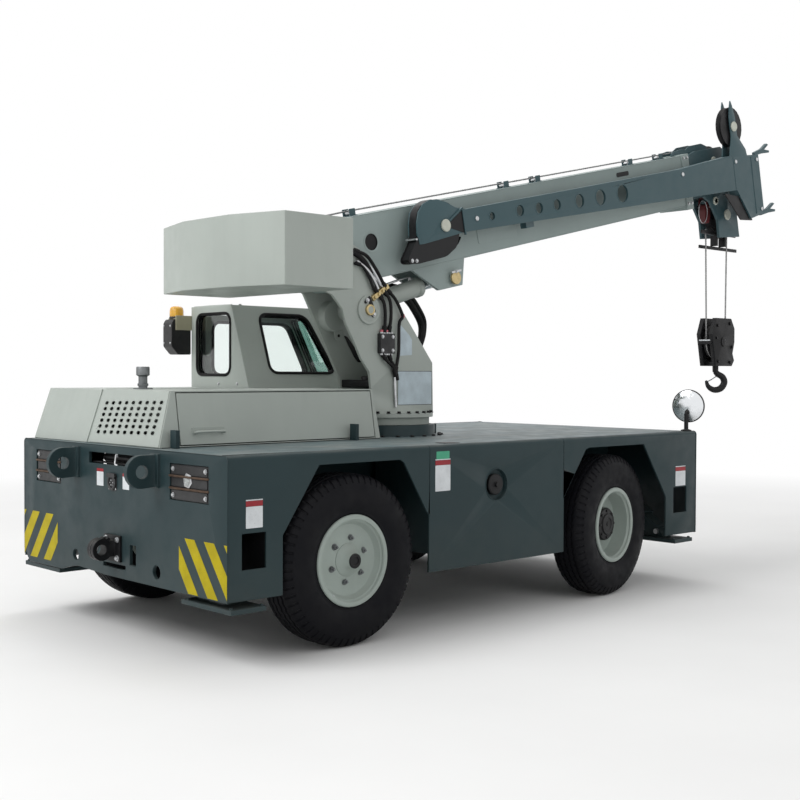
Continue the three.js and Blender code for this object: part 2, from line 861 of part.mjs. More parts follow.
function mastSide(rearEdge) {
  const s = new THREE.Shape();
  rearEdge.forEach(([x, z], k) => (k ? s.lineTo(x, z) : s.moveTo(x, z)));
  s.lineTo(800, 1816);
  s.lineTo(800, 2060);
  s.lineTo(1340, 2076);
  s.absarc(HEEL.x, HEEL.z, 205, (75 * Math.PI) / 180, (12 * Math.PI) / 180, true);
  s.lineTo(1731, 1831);
  s.lineTo(1845, 1717);
  s.lineTo(1996, 1536);
  s.lineTo(2103, 1404);
  s.lineTo(2110, 1104);
  s.closePath();
  return s;
}

function mast() {
  const inner = MAST_HALF - MAST_PLATE;
  const near = prism(mastSide(MAST_REAR), "y", -MAST_HALF, -inner, 5);
  const far = prism(mastSide(MAST_REAR_FAR), "y", inner, MAST_HALF, 5);
  const base = join(
    bar("z", SLEW_X, 0, 268, PEDESTAL_TOP + 1, 1086, 36),
    bar("z", SLEW_X, 0, 290, 1080, 1105, 36),
  );
  const boss = bar("y", LIFT_LOW.x, LIFT_LOW.z, 84, MAST_HALF - 5, MAST_HALF + 12, 24);
  const pins = join(
    bar("y", LIFT_LOW.x, LIFT_LOW.z, 32, -MAST_HALF - 26, MAST_HALF + 26, 16),
    bar("y", HEEL.x, HEEL.z, 36, -MAST_HALF + 5, MAST_HALF - 5, 16),
  );
  const bridge = box(1870, 1900, -MAST_HALF + 5, MAST_HALF - 5, 1100, 1480);
  const rearTie = box(800, 815, -MAST_HALF + 5, MAST_HALF - 5, 1816, 2060);
  const reel = bar("y", 1515, 1677, 90, 66, inner + 5, 24);
  return join(near, far, base, boss, mirroredY(boss), pins, bridge, rearTie, reel);
}

const HOUSING = { rear: 543, side: 644, front: 1101, halfRear: 214, half: 561, z0: 1785, z1: 2161 };

function housingOutline(inset) {
  const front = HOUSING.front - (inset ? 20 : 0);
  const half = HOUSING.half - inset;
  return [
    [front, -half],
    [front, half],
    [HOUSING.side + inset * 0.6, half],
    [HOUSING.rear + inset, HOUSING.halfRear],
    [HOUSING.rear + inset, -HOUSING.halfRear],
    [HOUSING.side + inset * 0.6, -half],
  ];
}

function counterweightHousing() {
  const outer = prism(housingOutline(0), "z", HOUSING.z0, HOUSING.z1);
  const room = prism(housingOutline(25), "z", HOUSING.z0 + 30, HOUSING.z1 + 10);
  const notch = box(1000, 1200, -MAST_HALF - 1, MAST_HALF + 1, HOUSING.z0 + 30, HOUSING.z1 + 10);
  const ballast = box(HOUSING.rear + 10, 770, -440, 440, HOUSING.z0 + 10, 2060).intersect(outer);
  return join(cut(outer, room, notch), ballast);
}

const DRUM = { x: 985, z: 1985, radius: 105, flange: 150 };

function winchDrum() {
  const barrel = turned([
    [0, -129.4],
    [34, -129.4],
    [34, -118],
    [DRUM.flange, -118],
    [DRUM.flange, -106],
    [DRUM.radius, -106],
    [DRUM.radius, 106],
    [DRUM.flange, 106],
    [DRUM.flange, 118],
    [34, 118],
    [34, 129.4],
    [0, 129.4],
  ], 20);
  return moved(barrel, DRUM.x, 0, DRUM.z);
}

// ---------------------------------------------------------------- boom, in its own frame
const boomSection = ({ half, bottom, top, rear, front, wall }) =>
  cut(
    box(rear, front, -half, half, bottom, top),
    box(rear - 10, front + 10, -half + wall, half - wall, bottom + wall, top - wall),
  );

function boomBase() {
  const { half, bottom, top, front, wall } = BASE;
  const collar = cut(
    box(front - 90, front, -half - 13, half + 13, bottom - 34, top + 10),
    box(front - 100, front + 10, -half + wall, half - wall, bottom + wall, top - wall),
  );
  const rearBevel = prism(
    [
      [-300, 60],
      [-90, 60],
      [240, 420],
      [-300, 420],
    ],
    "y",
    -200,
    200,
  );
  const lug = prism(
    [
      [560, bottom + 4],
      [1035, bottom + 4],
      [982, -207],
      [768, -204],
    ],
    "y",
    90,
    half,
  );
  // The lift pin's two ends; its middle is left out because the rod's eye drifts there.
  const pin = bar("y", LIFT_HIGH.x, LIFT_HIGH.z, 30, 68, half + 20, 16);
  const heel = bar("y", 0, 0, 75, -half, half, 24);
  const bore = bar("y", 0, 0, 38, -200, 200, 16);
  const sideHole = bar("y", 276, 171, 57, -200, -half + wall + 4, 16);
  const shell = cut(boomSection(BASE), rearBevel);
  const lugs = [lug, mirroredY(lug), pin, mirroredY(pin)];
  return cut(join(shell, collar, heel, ...lugs), bore, sideHole);
}

const NOSE_SIDE = [
  [3702, -8],
  [3702, 335],
  [3790, 352],
  [4160, 352],
  [4240, 300],
  [4215, 60],
  [4300, -200],
  [4300, -390],
  [4005, -352],
  [4010, -215],
  [3930, -60],
  [3850, -8],
];

function boomTip() {
  const side = prism(NOSE_SIDE, "y", 70, 92);
  const rearPlate = box(3702, 3722, -92, 92, -8, 335);
  const window = box(3600, 3760, -TIP.half + TIP.wall, TIP.half - TIP.wall, 20, TIP.top - TIP.wall);
  const ties = join(
    bar("y", 4040, 250, 24, -90, 90, 12),
    bar("y", NOSE_SHEAVE.x, NOSE_SHEAVE.z, 30, -100, 100, 16),
    bar("y", 4000, -60, 22, -104, 90, 12),
    box(3722, 4100, -80, 80, 300, 312),
  );
  return cut(join(boomSection(TIP), side, mirroredY(side), rearPlate, ties), window);
}

// A rope sheave about the Y axis with a bore and a V groove.
function sheave(radius, half, bore) {
  return turned([
    [bore, -half],
    [radius, -half],
    [radius - 20, 0],
    [radius, half],
    [bore, half],
    [bore, -half],
  ], 24);
}

// ---------------------------------------------------------------- stowed jib, in the boom's frame
const JIB = { near: -262, far: -182, plate: 10 };
const JIB_SHEAVE = { x: 755, z: 187, radius: 150 };
const JIB_TOP_SHEAVE = { x: 4101, z: 490, radius: 154 };

const JIB_BEAM = [
  [930, 124],
  [930, 260],
  [3300, 246],
  [4000, 272],
  [4345, 247],
  [4430, 240],
  [4430, -228],
  [4225, -246],
  [4062, 0],
  [3300, 30],
];
const JIB_ROOM = [
  [925, 134],
  [925, 250],
  [3300, 236],
  [4000, 262],
  [4345, 237],
  [4418, 230],
  [4418, -218],
  [4230, -232],
  [4066, 10],
  [3300, 40],
];
const JIB_TIP = [
  [520, 108],
  [514, 176],
  [524, 236],
  [550, 296],
  [598, 338],
  [654, 354],
  [720, 351],
  [794, 325],
  [864, 284],
  [960, 259],
  [960, 126],
  [864, 121],
  [560, 105],
];
const JIB_HOLES = [
  [1185, 186, 27],
  [1457, 184, 38],
  [1647, 176, 38],
  [1834, 174, 38],
  [2076, 168, 48],
  [2310, 163, 56],
  [2566, 157, 64],
];
const JIB_EAR = [
  [4010, 258],
  [4062, 420],
  [4058, 560],
  [4084, 652],
  [4101, 690],
  [4118, 652],
  [4144, 560],
  [4146, 420],
  [4250, 300],
  [4262, 248],
];

function jib() {
  const { near, far, plate } = JIB;
  const beam = cut(prism(JIB_BEAM, "y", near, far), prism(JIB_ROOM, "y", near + plate, far + 20));
  const tips = [near, far - plate].map((y) => prism(JIB_TIP, "y", y, y + plate));
  const ears = [near, far - plate].map((y) => prism(JIB_EAR, "y", y, y + plate));
  const holes = JIB_HOLES.map(([x, z, r]) => bar("y", x, z, r, near - 10, near + plate + 5, 14));
  const pins = [JIB_SHEAVE, JIB_TOP_SHEAVE].map(({ x, z }) =>
    bar("y", x, z, 28, near - 14, far + 6, 14),
  );
  const forks = [258, -222].map((z) =>
    prism(
      [
        [4425, z - 22],
        [4425, z + 4],
        [4540, z + 22],
        [4625, z + 56],
        [4650, z + 44],
        [4580, z + 12],
        [4655, z - 4],
        [4650, z - 20],
        [4540, z - 16],
      ],
      "y",
      -234,
      -210,
    ),
  );
  const brackets = [
    [1010, 256],
    [3150, 243],
  ].map(([x, top]) => box(x, x + 90, far - 12, -BASE.half - GAP, 130, top));
  const bump = box(1540, 1620, far - 40, far + 10, 62, 104);
  const link = box(1560, 1600, far - 20, far, 95, 125);
  return cut(join(beam, ...tips, ...ears, ...pins, ...forks, ...brackets, bump, link), ...holes);
}

// ---------------------------------------------------------------- lift cylinder, along +X
function liftBarrel() {
  const tube = turned([
    [0, 76],
    [46, 76],
    [46, 545],
    [35.5, 545],
    [35.5, 575],
    [60, 575],
    [60, 540],
    [56, 535],
    [56, 60],
    [0, 60],
  ], 20).rotate([0, 0, -90]);
  const eye = cut(bar("y", 0, 0, 56, -60, 60, 20), bar("y", 0, 0, 34, -70, 70, 16));
  const neck = cut(box(30, 66, -40, 40, -40, 40), bar("y", 0, 0, 34, -70, 70, 16));
  return join(tube, eye, neck);
}

function liftRod(length) {
  const stick = bar("x", 0, 0, 34, length - 520, length - 40, 20);
  const piston = bar("x", 0, 0, 44.5, length - 530, length - 500, 20);
  const eye = cut(bar("y", length, 0, 50, -62, 62, 20), bar("y", length, 0, 32, -70, 70, 16));
  return join(stick, piston, eye);
}

// ---------------------------------------------------------------- hook block, about its top axis
function hookBlock() {
  const z = -HOOK_DROP;
  const cheek = prism(
    [
      [-110, z - 195],
      [125, z - 195],
      [160, z - 150],
      [135, z - 95],
      [163, z],
      [163, z + 110],
      [112, z + 190],
      [-112, z + 190],
      [-165, z + 60],
    ],
    "y",
    38,
    74,
  );
  const crosshead = cut(
    box(-70, 80, -60, 60, z - 195, z - 160),
    bar("z", 0, 0, 27, z - 200, z - 150, 12),
  );
  const pin = bar("y", 0, z, 28, -84, 84, 12);
  const guards = [
    box(-160, -146, -60, 60, z - 20, z + 20),
    box(118, 140, -60, 60, z - 150, z - 110),
  ];
  return join(cheek, mirroredY(cheek), crosshead, pin, ...guards);
}

function hook() {
  const shank = bar("z", 0, 0, 24, -50, 55, 12);
  const nut = bar("z", 0, 0, 34, 41.5, 55, 6);
  const bowl = hose(
    [
      [0, 0, -38],
      [22, 0, -62],
      [62, 0, -88],
      [72, 0, -130],
      [42, 0, -176],
      [-10, 0, -187],
      [-56, 0, -160],
      [-76, 0, -108],
    ],
    27,
    12,
    8,
  );
  return join(shank, nut, bowl);
}

// ---------------------------------------------------------------- assembly
node(carrier, "chassis_frame", chassisFrame(), SLATE);
node(carrier, "rear_outrigger_box", outriggerBox(OUTRIGGER_X.rear, 165, 215 - GAP), SLATE);
node(carrier, "front_outrigger_box", outriggerBox(OUTRIGGER_X.front, 3470 + GAP, 3505), SLATE);
node(carrier, "turntable_pedestal", turntablePedestal(), SLATE);
node(carrier, "deck_plate", deckPlate(), SLATE);
node(carrier, "rear_body", rearBody(), SLATE);
node(carrier, "front_body", frontBody(), SLATE);
node(carrier, "right_side_tank", rightSideTank(), SLATE);
node(carrier, "left_side_panel", leftSidePanel(), SLATE);
node(carrier, "engine_hood", engineHood(), GREY);
node(carrier, "grille_panel", grillePanel(), GREY);
node(carrier, "hood_side_cover", hoodSideCover(), GREY);
node(carrier, "engine_block", engineBlock(), CAST);
node(carrier, "exhaust_stack", exhaustStack(), STEEL);
node(carrier, "cab_shell", cabShell(), GREY);
node(carrier, "cab_door", cabDoor(), GREY);
node(carrier, "cab_rear_glass", pane("rear"), GLASS);
node(carrier, "cab_right_glass", pane("right"), GLASS);
node(carrier, "cab_front_glass", pane("front"), GLASS);
node(carrier, "door_glass", pane("door"), GLASS);
node(carrier, "cab_seat", cabSeat(), VINYL);
node(carrier, "cab_console", cabConsole(), BLACK);
node(carrier, "beacon_unit", beaconUnit(), BLACK);
node(carrier, "round_mirror", mirrorUnit(), MIRROR);
node(carrier, "pintle_hitch", pintleHitch(), BLACK);

for (const front of [false, true]) {
  const end = front ? "front" : "rear";
  node(carrier, `${end}_axle`, axle(front), BLACK);
  for (const side of SIDES) {
    const steered = wheelGroup(front, side);
    const wheelY = side.sign * (TRACK_HALF - KINGPIN_HALF);
    const profile = front
      ? rimProfile(FRONT_FACE, RIM_BACK.front)
      : rimProfile(REAR_FACE, RIM_BACK.rear);
    const rim = turned(profile, 20);
    node(steered, `${end}_${side.name}_knuckle`, onSide(side, knuckle(front)), CAST);
    node(steered, `${end}_${side.name}_rim`, moved(onSide(side, rim), 0, wheelY, 0), RIM_GREY);
    node(steered, `${end}_${side.name}_tyre`, moved(turned(TYRE_PROFILE, 28), 0, wheelY, 0), RUBBER);
  }
  const arm = front ? -STEER_ARM : STEER_ARM;
  const turn = front ? FRONT_STEER : 0;
  const axleX = front ? FRONT_AXLE_X : REAR_AXLE_X;
  const rodGroup = new THREE.Group();
  const dx = arm * Math.cos(turn);
  const dy = arm * Math.sin(turn);
  rodGroup.position.set(axleX + dx, -KINGPIN_HALF + dy, TYRE_RADIUS);
  carrier.add(rodGroup);
  node(rodGroup, `${end}_tie_rod`, tieRod(), BLACK);
}

for (const [end, x] of Object.entries(OUTRIGGER_X)) {
  for (const side of SIDES) {
    const leg = moved(onSide(side, outrigger()), x, 0, 0);
    node(carrier, `${end}_${side.name}_outrigger`, leg, SLATE);
  }
}

node(carrier, "mast", mast(), GREY);
node(carrier, "winch_housing", counterweightHousing(), GREY);
node(carrier, "winch_drum", winchDrum(), BLACK);

const boom = new THREE.Group();
boom.position.set(HEEL.x, 0, HEEL.z);
boom.rotation.y = -BOOM_ANGLE;
carrier.add(boom);
node(boom, "boom_base", boomBase(), GREY);
node(boom, "boom_mid", boomSection(MID), GREY);
node(boom, "boom_tip", boomTip(), SLATE);
node(boom, "stowed_jib", jib(), SLATE);

const jibMiddle = (JIB.near + JIB.far) / 2;
const sheaveAt = ({ x, z, radius }, half, y, bore) => moved(sheave(radius, half, bore), x, y, z);
node(boom, "jib_tip_sheave", sheaveAt(JIB_SHEAVE, 22, jibMiddle, 30), BLACK);
node(boom, "jib_top_sheave", sheaveAt(JIB_TOP_SHEAVE, 22, jibMiddle, 30), BLACK);
node(boom, "nose_sheave", sheaveAt(NOSE_SHEAVE, 24, 0, 32), BLACK);

// The lift cylinder lies from the mast's low pin to the pin under the boom.
const inWorld = ({ x, z }) => ({
  x: HEEL.x + x * Math.cos(BOOM_ANGLE) - z * Math.sin(BOOM_ANGLE),
  z: HEEL.z + x * Math.sin(BOOM_ANGLE) + z * Math.cos(BOOM_ANGLE),
});
const liftTop = inWorld(LIFT_HIGH);
const liftLength = Math.hypot(liftTop.x - LIFT_LOW.x, liftTop.z - LIFT_LOW.z);
const lift = new THREE.Group();
lift.position.set(LIFT_LOW.x, 0, LIFT_LOW.z);
lift.rotation.y = -Math.atan2(liftTop.z - LIFT_LOW.z, liftTop.x - LIFT_LOW.x);
carrier.add(lift);
node(lift, "lift_barrel", liftBarrel(), GREY);
node(lift, "lift_rod", liftRod(liftLength), CHROME);

// The hook block hangs plumb under the nose sheave; the hook is turned a little about its shank.
const noseAxis = inWorld(NOSE_SHEAVE);
const hanging = new THREE.Group();
hanging.position.set(noseAxis.x, 0, noseAxis.z);
carrier.add(hanging);
node(hanging, "hook_block", hookBlock(), BLACK);
node(hanging, "hook_sheave", moved(sheave(140, 24, 30), 0, 0, -HOOK_DROP), BLACK);
const hookGroup = new THREE.Group();
hookGroup.position.set(0, 0, -HOOK_DROP - 201);
hookGroup.rotation.z = HOOK_YAW;
hanging.add(hookGroup);
node(hookGroup, "hook", hook(), BLACK);

export default root;
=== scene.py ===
"""The looks of a carry-deck mobile crane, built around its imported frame.

Every sub-assembly is a class with its sizes in millimetres and a build method. Shapes are worked
out with numpy as surfaces of two parameters, or as profiles carried along a path, and every finish
is a small frozen class that writes its own shader.
"""

import json
import logging
import math
from dataclasses import dataclass
from enum import Enum
from functools import lru_cache
from typing import Iterable, Sequence

import bmesh
import bpy
import numpy as np
from mathutils import Matrix, Vector


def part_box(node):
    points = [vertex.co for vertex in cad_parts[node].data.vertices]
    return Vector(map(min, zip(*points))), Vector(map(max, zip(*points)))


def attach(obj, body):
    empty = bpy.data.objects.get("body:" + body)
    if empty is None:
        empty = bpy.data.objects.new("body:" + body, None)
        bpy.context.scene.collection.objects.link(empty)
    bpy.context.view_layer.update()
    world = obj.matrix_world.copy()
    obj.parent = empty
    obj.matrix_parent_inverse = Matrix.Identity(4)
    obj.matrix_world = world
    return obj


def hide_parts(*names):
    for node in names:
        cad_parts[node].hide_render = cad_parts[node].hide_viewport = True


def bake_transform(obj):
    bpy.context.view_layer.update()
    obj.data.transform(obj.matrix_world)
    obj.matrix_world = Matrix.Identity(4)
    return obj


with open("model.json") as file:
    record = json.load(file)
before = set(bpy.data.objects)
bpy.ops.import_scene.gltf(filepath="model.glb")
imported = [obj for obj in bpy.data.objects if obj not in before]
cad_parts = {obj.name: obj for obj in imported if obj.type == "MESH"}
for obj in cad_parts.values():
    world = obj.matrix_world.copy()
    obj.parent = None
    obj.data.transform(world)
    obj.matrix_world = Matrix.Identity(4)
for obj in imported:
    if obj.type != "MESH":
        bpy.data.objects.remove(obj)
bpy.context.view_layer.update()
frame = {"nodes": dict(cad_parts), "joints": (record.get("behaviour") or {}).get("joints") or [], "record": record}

log = logging.getLogger("crane")
Array = np.ndarray
RGB = tuple[float, float, float]
Point = Sequence[float]

MM = 0.001
BEVEL_SEGMENTS = 2
ORIGIN = (0.0, 0.0, 0.0)
RECORD = frame["record"]
BODY_OF = {n: b for b, ns in RECORD["behaviour"]["bodies"].items() for n in ns}
JOINTS = {j["name"]: j for j in frame["joints"]}
DECK_REAR_GAP = 0.0203  # the deck plate starts this far ahead of the rear panel's outer face
REAR_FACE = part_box("deck_plate")[0].x - DECK_REAR_GAP
DECK_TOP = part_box("deck_plate")[1].z / MM
HALF_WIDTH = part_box("right_side_tank")[0].y / -MM
DRUM = (985.0, 0.0, 1985.0)  # the drum's middle in the carrier's millimetres
BLOCK_DROP = 1020.0  # from the nose sheave's axis down to the block's
STRANDS = 6


# ---------------------------------------------------------------- axes and shapes
@dataclass(frozen=True)
class Place:
    """A sub-assembly's own axes: origin in metres, pitch up and turn to the left in radians."""

    origin: tuple[float, float, float]
    pitch: float = 0.0
    turn: float = 0.0

    def to_frame(self, points: Array) -> Array:
        """Turns millimetres in these axes into metres in the frame.

        Args:
            points: an (n, 3) array in these axes.

        Returns:
            The same points pitched about Y, turned about Z and shifted to the origin.
        """
        x, y, z = (np.asarray(points, float) * MM).T
        c, s = math.cos(self.pitch), math.sin(self.pitch)
        x, z = x * c - z * s, x * s + z * c
        c, s = math.cos(self.turn), math.sin(self.turn)
        x, y = x * c - y * s, x * s + y * c
        return np.stack([x, y, z], 1) + np.array(self.origin)


def joint_place(joint: str, pitch: float = 0.0) -> Place:
    """The axes that sit on a joint, pitched up by an angle in radians."""
    return Place(tuple(JOINTS[joint]["pos_m"]), pitch)


def pitch_of(joint: str) -> float:
    """The slope in radians of a sliding joint's axis."""
    axis = JOINTS[joint]["axis"]
    return math.atan2(axis[2], axis[0])


CARRIER = Place((REAR_FACE, 0.0, 0.0))
BOOM = joint_place("luff", pitch_of("mid_extend"))
LIFT = joint_place("lift_tilt", pitch_of("lift_stroke"))
HANGING = joint_place("nose_spin")


@dataclass
class Shape:
    """A mesh in the making: points in millimetres and faces as lists of point numbers."""

    points: Array
    faces: list[list[int]]

    def shifted(self, by: Point) -> "Shape":
        """The same shape moved by a vector in millimetres."""
        return Shape(self.points + np.asarray(by, float), self.faces)

    def mirrored(self, axis: str = "y") -> "Shape":
        """The same shape reflected along an axis, its faces turned so that they still point out."""
        flip = np.where(np.array(list("xyz")) == axis, -1.0, 1.0)
        return Shape(self.points * flip, [f[::-1] for f in self.faces])

    def turned(self, axis: str, degrees: float) -> "Shape":
        """The same shape turned about one of its own axes through the origin."""
        spin = np.array(Matrix.Rotation(math.radians(degrees), 3, axis.upper()))
        return Shape(self.points @ spin.T, self.faces)


def joined(shapes: Iterable[Shape]) -> Shape:
    """One shape holding all the given ones."""
    points: list[Array] = []
    faces: list[list[int]] = []
    count = 0
    for shape in shapes:
        points.append(shape.points)
        faces += [[i + count for i in f] for f in shape.faces]
        count += len(shape.points)
    return Shape(np.concatenate(points), faces)


def repeated(shape: Shape, at: Sequence[Point]) -> Shape:
    """One shape with a copy of the given one at each place."""
    return joined(shape.shifted(p) for p in at)


def grid(rows: int, columns: int, wrap_rows: bool, wrap_columns: bool) -> list[list[int]]:
    """The quads of a grid of points numbered row by row.

    Args:
        rows: how many rows of points.
        columns: how many points in a row.
        wrap_rows: whether the last row meets the first.
        wrap_columns: whether each row closes on itself.

    Returns:
        Faces whose normal is (along the row) x (towards the next row).
    """
    i = np.arange(rows if wrap_rows else rows - 1)[:, None]
    j = np.arange(columns if wrap_columns else columns - 1)[None, :]
    k, m = (i + 1) % rows, (j + 1) % columns
    quads = np.stack([i * columns + j, i * columns + m, k * columns + m, k * columns + j], -1)
    return quads.reshape(-1, 4).tolist()


def full_turn(count: int) -> Array:
    """Even angles in radians from 0 up to, but not at, a whole turn."""
    return np.linspace(0, 2 * math.pi, count, endpoint=False)


def circle(radius: float, sides: int) -> Array:
    """A ring of points (radius cos t, radius sin t)."""
    t = full_turn(sides)
    return radius * np.stack([np.cos(t), np.sin(t)], 1)


def smooth(points: Sequence[Point], steps: int, closed: bool = False) -> Array:
    """A Catmull-Rom curve through the points: each span is the cubic whose end slopes are half the
    step between the neighbours.

    Args:
        points: the points to pass through.
        steps: how many steps each span gets.
        closed: whether the curve returns to its first point.

    Returns:
        The points of the curve, both ends included when it is open.
    """
    p = np.asarray(points, float)
    n = len(p)
    if closed:
        a, b, c, d = p[np.arange(n) - 1], p, p[(np.arange(n) + 1) % n], p[(np.arange(n) + 2) % n]
    else:
        q = np.concatenate([2 * p[:1] - p[1:2], p, 2 * p[-1:] - p[-2:-1]])
        a, b, c, d = q[:-3], q[1:-2], q[2:-1], q[3:]
    t = np.linspace(0, 1, steps, endpoint=False)[None, :, None]
    a, b, c, d = (v[:, None, :] for v in (a, b, c, d))
    curve = 0.5 * (2 * b + (c - a) * t + (2 * a - 5 * b + 4 * c - d) * t**2
                   + (3 * b - a - 3 * c + d) * t**3)
    curve = curve.reshape(-1, p.shape[1])
    return curve if closed else np.concatenate([curve, p[-1:]])


def rounded(corners: Sequence[Sequence[float]], radius: float, steps: int = 5) -> Array:
    """An outline whose corners are parabolas: (1-t)^2 a + 2t(1-t) corner + t^2 b, with a and b one
    radius before and after the corner.

    Args:
        corners: the outline's corners in order.
        radius: how far from its corner each curve starts, and at most half of a side.
        steps: points in each corner, less one.

    Returns:
        An (n, 2) outline.
    """
    c = np.asarray(corners, float)
    back, ahead = np.roll(c, 1, 0) - c, np.roll(c, -1, 0) - c
    a = c + np.minimum(radius / np.linalg.norm(back, axis=1, keepdims=True), 0.49) * back
    b = c + np.minimum(radius / np.linalg.norm(ahead, axis=1, keepdims=True), 0.49) * ahead
    t = np.linspace(0, 1, steps + 1)[None, :, None]
    a, c, b = a[:, None], c[:, None], b[:, None]
    return ((1 - t) ** 2 * a + 2 * t * (1 - t) * c + t**2 * b).reshape(-1, 2)


def oblong(u0: float, v0: float, u1: float, v1: float, radius: float) -> Array:
    """The outline of a rounded rectangle between two opposite corners."""
    return rounded([[u0, v0], [u1, v0], [u1, v1], [u0, v1]], radius)


def rod(radius: float, low: float, high: float) -> list[list[float]]:
    """The profile of a plain round bar between two stations on its axis."""
    return [[0, low], [radius, low], [radius, high], [0, high]]


def swept(
    path: Array,
    section: Array,
    closed: bool = False,
    up: Point = (0.0, 0.0, 1.0),
    grow: Array | None = None,
    twist: Array | None = None,
) -> Shape:
    """A section carried along a path: point = path + u side + v top, where side and top square up
    to the path's direction and the given upward one.

    Args:
        path: (n, 3) points.
        section: (m, 2) outline, anticlockwise seen against the path.
        closed: whether the path returns to its start.
        up: a direction that the path never runs along.
        grow: a factor on the section at each station.
        twist: an angle in radians that turns the section at each station.

    Returns:
        A tube, closed at both ends unless the path is closed.
    """
    path = np.asarray(path, float)
    n, m = len(path), len(section)
    ahead = np.roll(path, -1, 0) - np.roll(path, 1, 0) if closed else np.gradient(path, axis=0)
    ahead /= np.linalg.norm(ahead, axis=1, keepdims=True)
    side = np.cross(np.asarray(up, float)[None], ahead)
    side /= np.linalg.norm(side, axis=1, keepdims=True)
    top = np.cross(ahead, side)
    size = np.ones(n) if grow is None else np.asarray(grow, float)
    angle = np.zeros(n) if twist is None else np.asarray(twist, float)
    u = size[:,
             None] * (np.cos(angle)[:, None] * section[:, 0] - np.sin(angle)[:, None]
                      * section[:, 1])
    v = size[:,
             None] * (np.sin(angle)[:, None] * section[:, 0] + np.cos(angle)[:, None]
                      * section[:, 1])
    points = path[:, None] + u[..., None] * side[:, None] + v[..., None] * top[:, None]
    faces = grid(n, m, closed, True)
    if not closed:
        faces += [list(range(m))[::-1], [(n - 1) * m + k for k in range(m)]]
    return Shape(points.reshape(-1, 3), faces)


def tube(path: Sequence[Point], radius: float, sides: int = 12, closed: bool = False,
         up: Point = (0.0, 0.0, 1.0)) -> Shape:
    """A round bar of one radius along a path."""
    return swept(np.asarray(path, float), circle(radius, sides), closed, up)


def spun(profile: Sequence[Sequence[float]], axis: str, sides: int = 48,
         at: Point = ORIGIN) -> Shape:
    """A profile spun about an axis: (r cos t, r sin t) square to the axis and a along it.

    Args:
        profile: [radius, along] pairs, closed on the axis or on itself.
        axis: "x", "y" or "z".
        sides: how many columns go round.
        at: the point that radius 0 and along 0 stand for.

    Returns:
        A closed shape; rows on the axis collapse to one point when its doubles are merged.
    """
    r, a = np.asarray(profile, float).T
    t = full_turn(sides)
    u, v = np.outer(r, np.cos(t)), np.outer(r, np.sin(t))
    w = np.repeat(a[:, None], sides, 1)
    order = {"x": (w, u, v), "y": (v, w, u), "z": (u, v, w)}[axis]
    points = np.stack(order, -1).reshape(-1, 3) + np.asarray(at, float)
    return Shape(points, grid(len(r), sides, False, True))


def slab(outline: Array, axis: str, low: float, high: float) -> Shape:
    """An outline pushed along an axis; its two numbers are the other two axes in order."""
    outline = np.asarray(outline, float)
    n = len(outline)
    level = np.repeat([low, high], n)
    u, v = np.tile(outline, (2, 1)).T
    order = {"x": (level, u, v), "y": (u, level, v), "z": (u, v, level)}[axis]
    faces = grid(2, n, False, True) + [list(range(n))[::-1], list(range(n, 2 * n))]
    return Shape(np.stack(order, 1), faces)


def block(low: Point, high: Point) -> Shape:
    """A box between two corners."""
    (x0, y0, z0), (x1, y1, z1) = low, high
    return slab(np.array([[x0, y0], [x1, y0], [x1, y1], [x0, y1]]), "z", z0, z1)


def hex_bolt(axis: str, across: float, height: float, out: int = 1) -> Shape:
    """A washer and a chamfered six-sided head standing out along an axis from the origin."""
    r = across / math.sqrt(3)
    washer = spun(rod(r * 1.35, 0, height * 0.2), axis, 16)
    head = spun([[0, height * 0.19], [r, height * 0.19], [r, height * 0.85], [r * 0.85, height],
                 [0, height]], axis, 6)
    made = joined([washer, head])
    return made if out > 0 else made.mirrored(axis)


def clipped(polygon: Array, low: Sequence[float], high: Sequence[float]) -> Array:
    """A convex polygon cut to a rectangle, one side at a time: points past a side are dropped and
    each edge that crosses it leaves its crossing point."""
    poly = np.asarray(polygon, float)
    for axis, sign, limit in ((0, 1, low[0]), (0, -1, high[0]), (1, 1, low[1]), (1, -1, high[1])):
        depth = sign * (poly[:, axis] - limit)
        kept: list[Array] = []
        for k in range(len(poly)):
            nxt = (k + 1) % len(poly)
            if depth[k] >= 0:
                kept.append(poly[k])
            if depth[k] * depth[nxt] < 0:
                share = depth[k] / (depth[k] - depth[nxt])
                kept.append(poly[k] + share * (poly[nxt] - poly[k]))
        poly = np.array(kept) if kept else np.zeros((0, 2))
        if len(poly) < 3:
            return np.zeros((0, 2))
    return poly


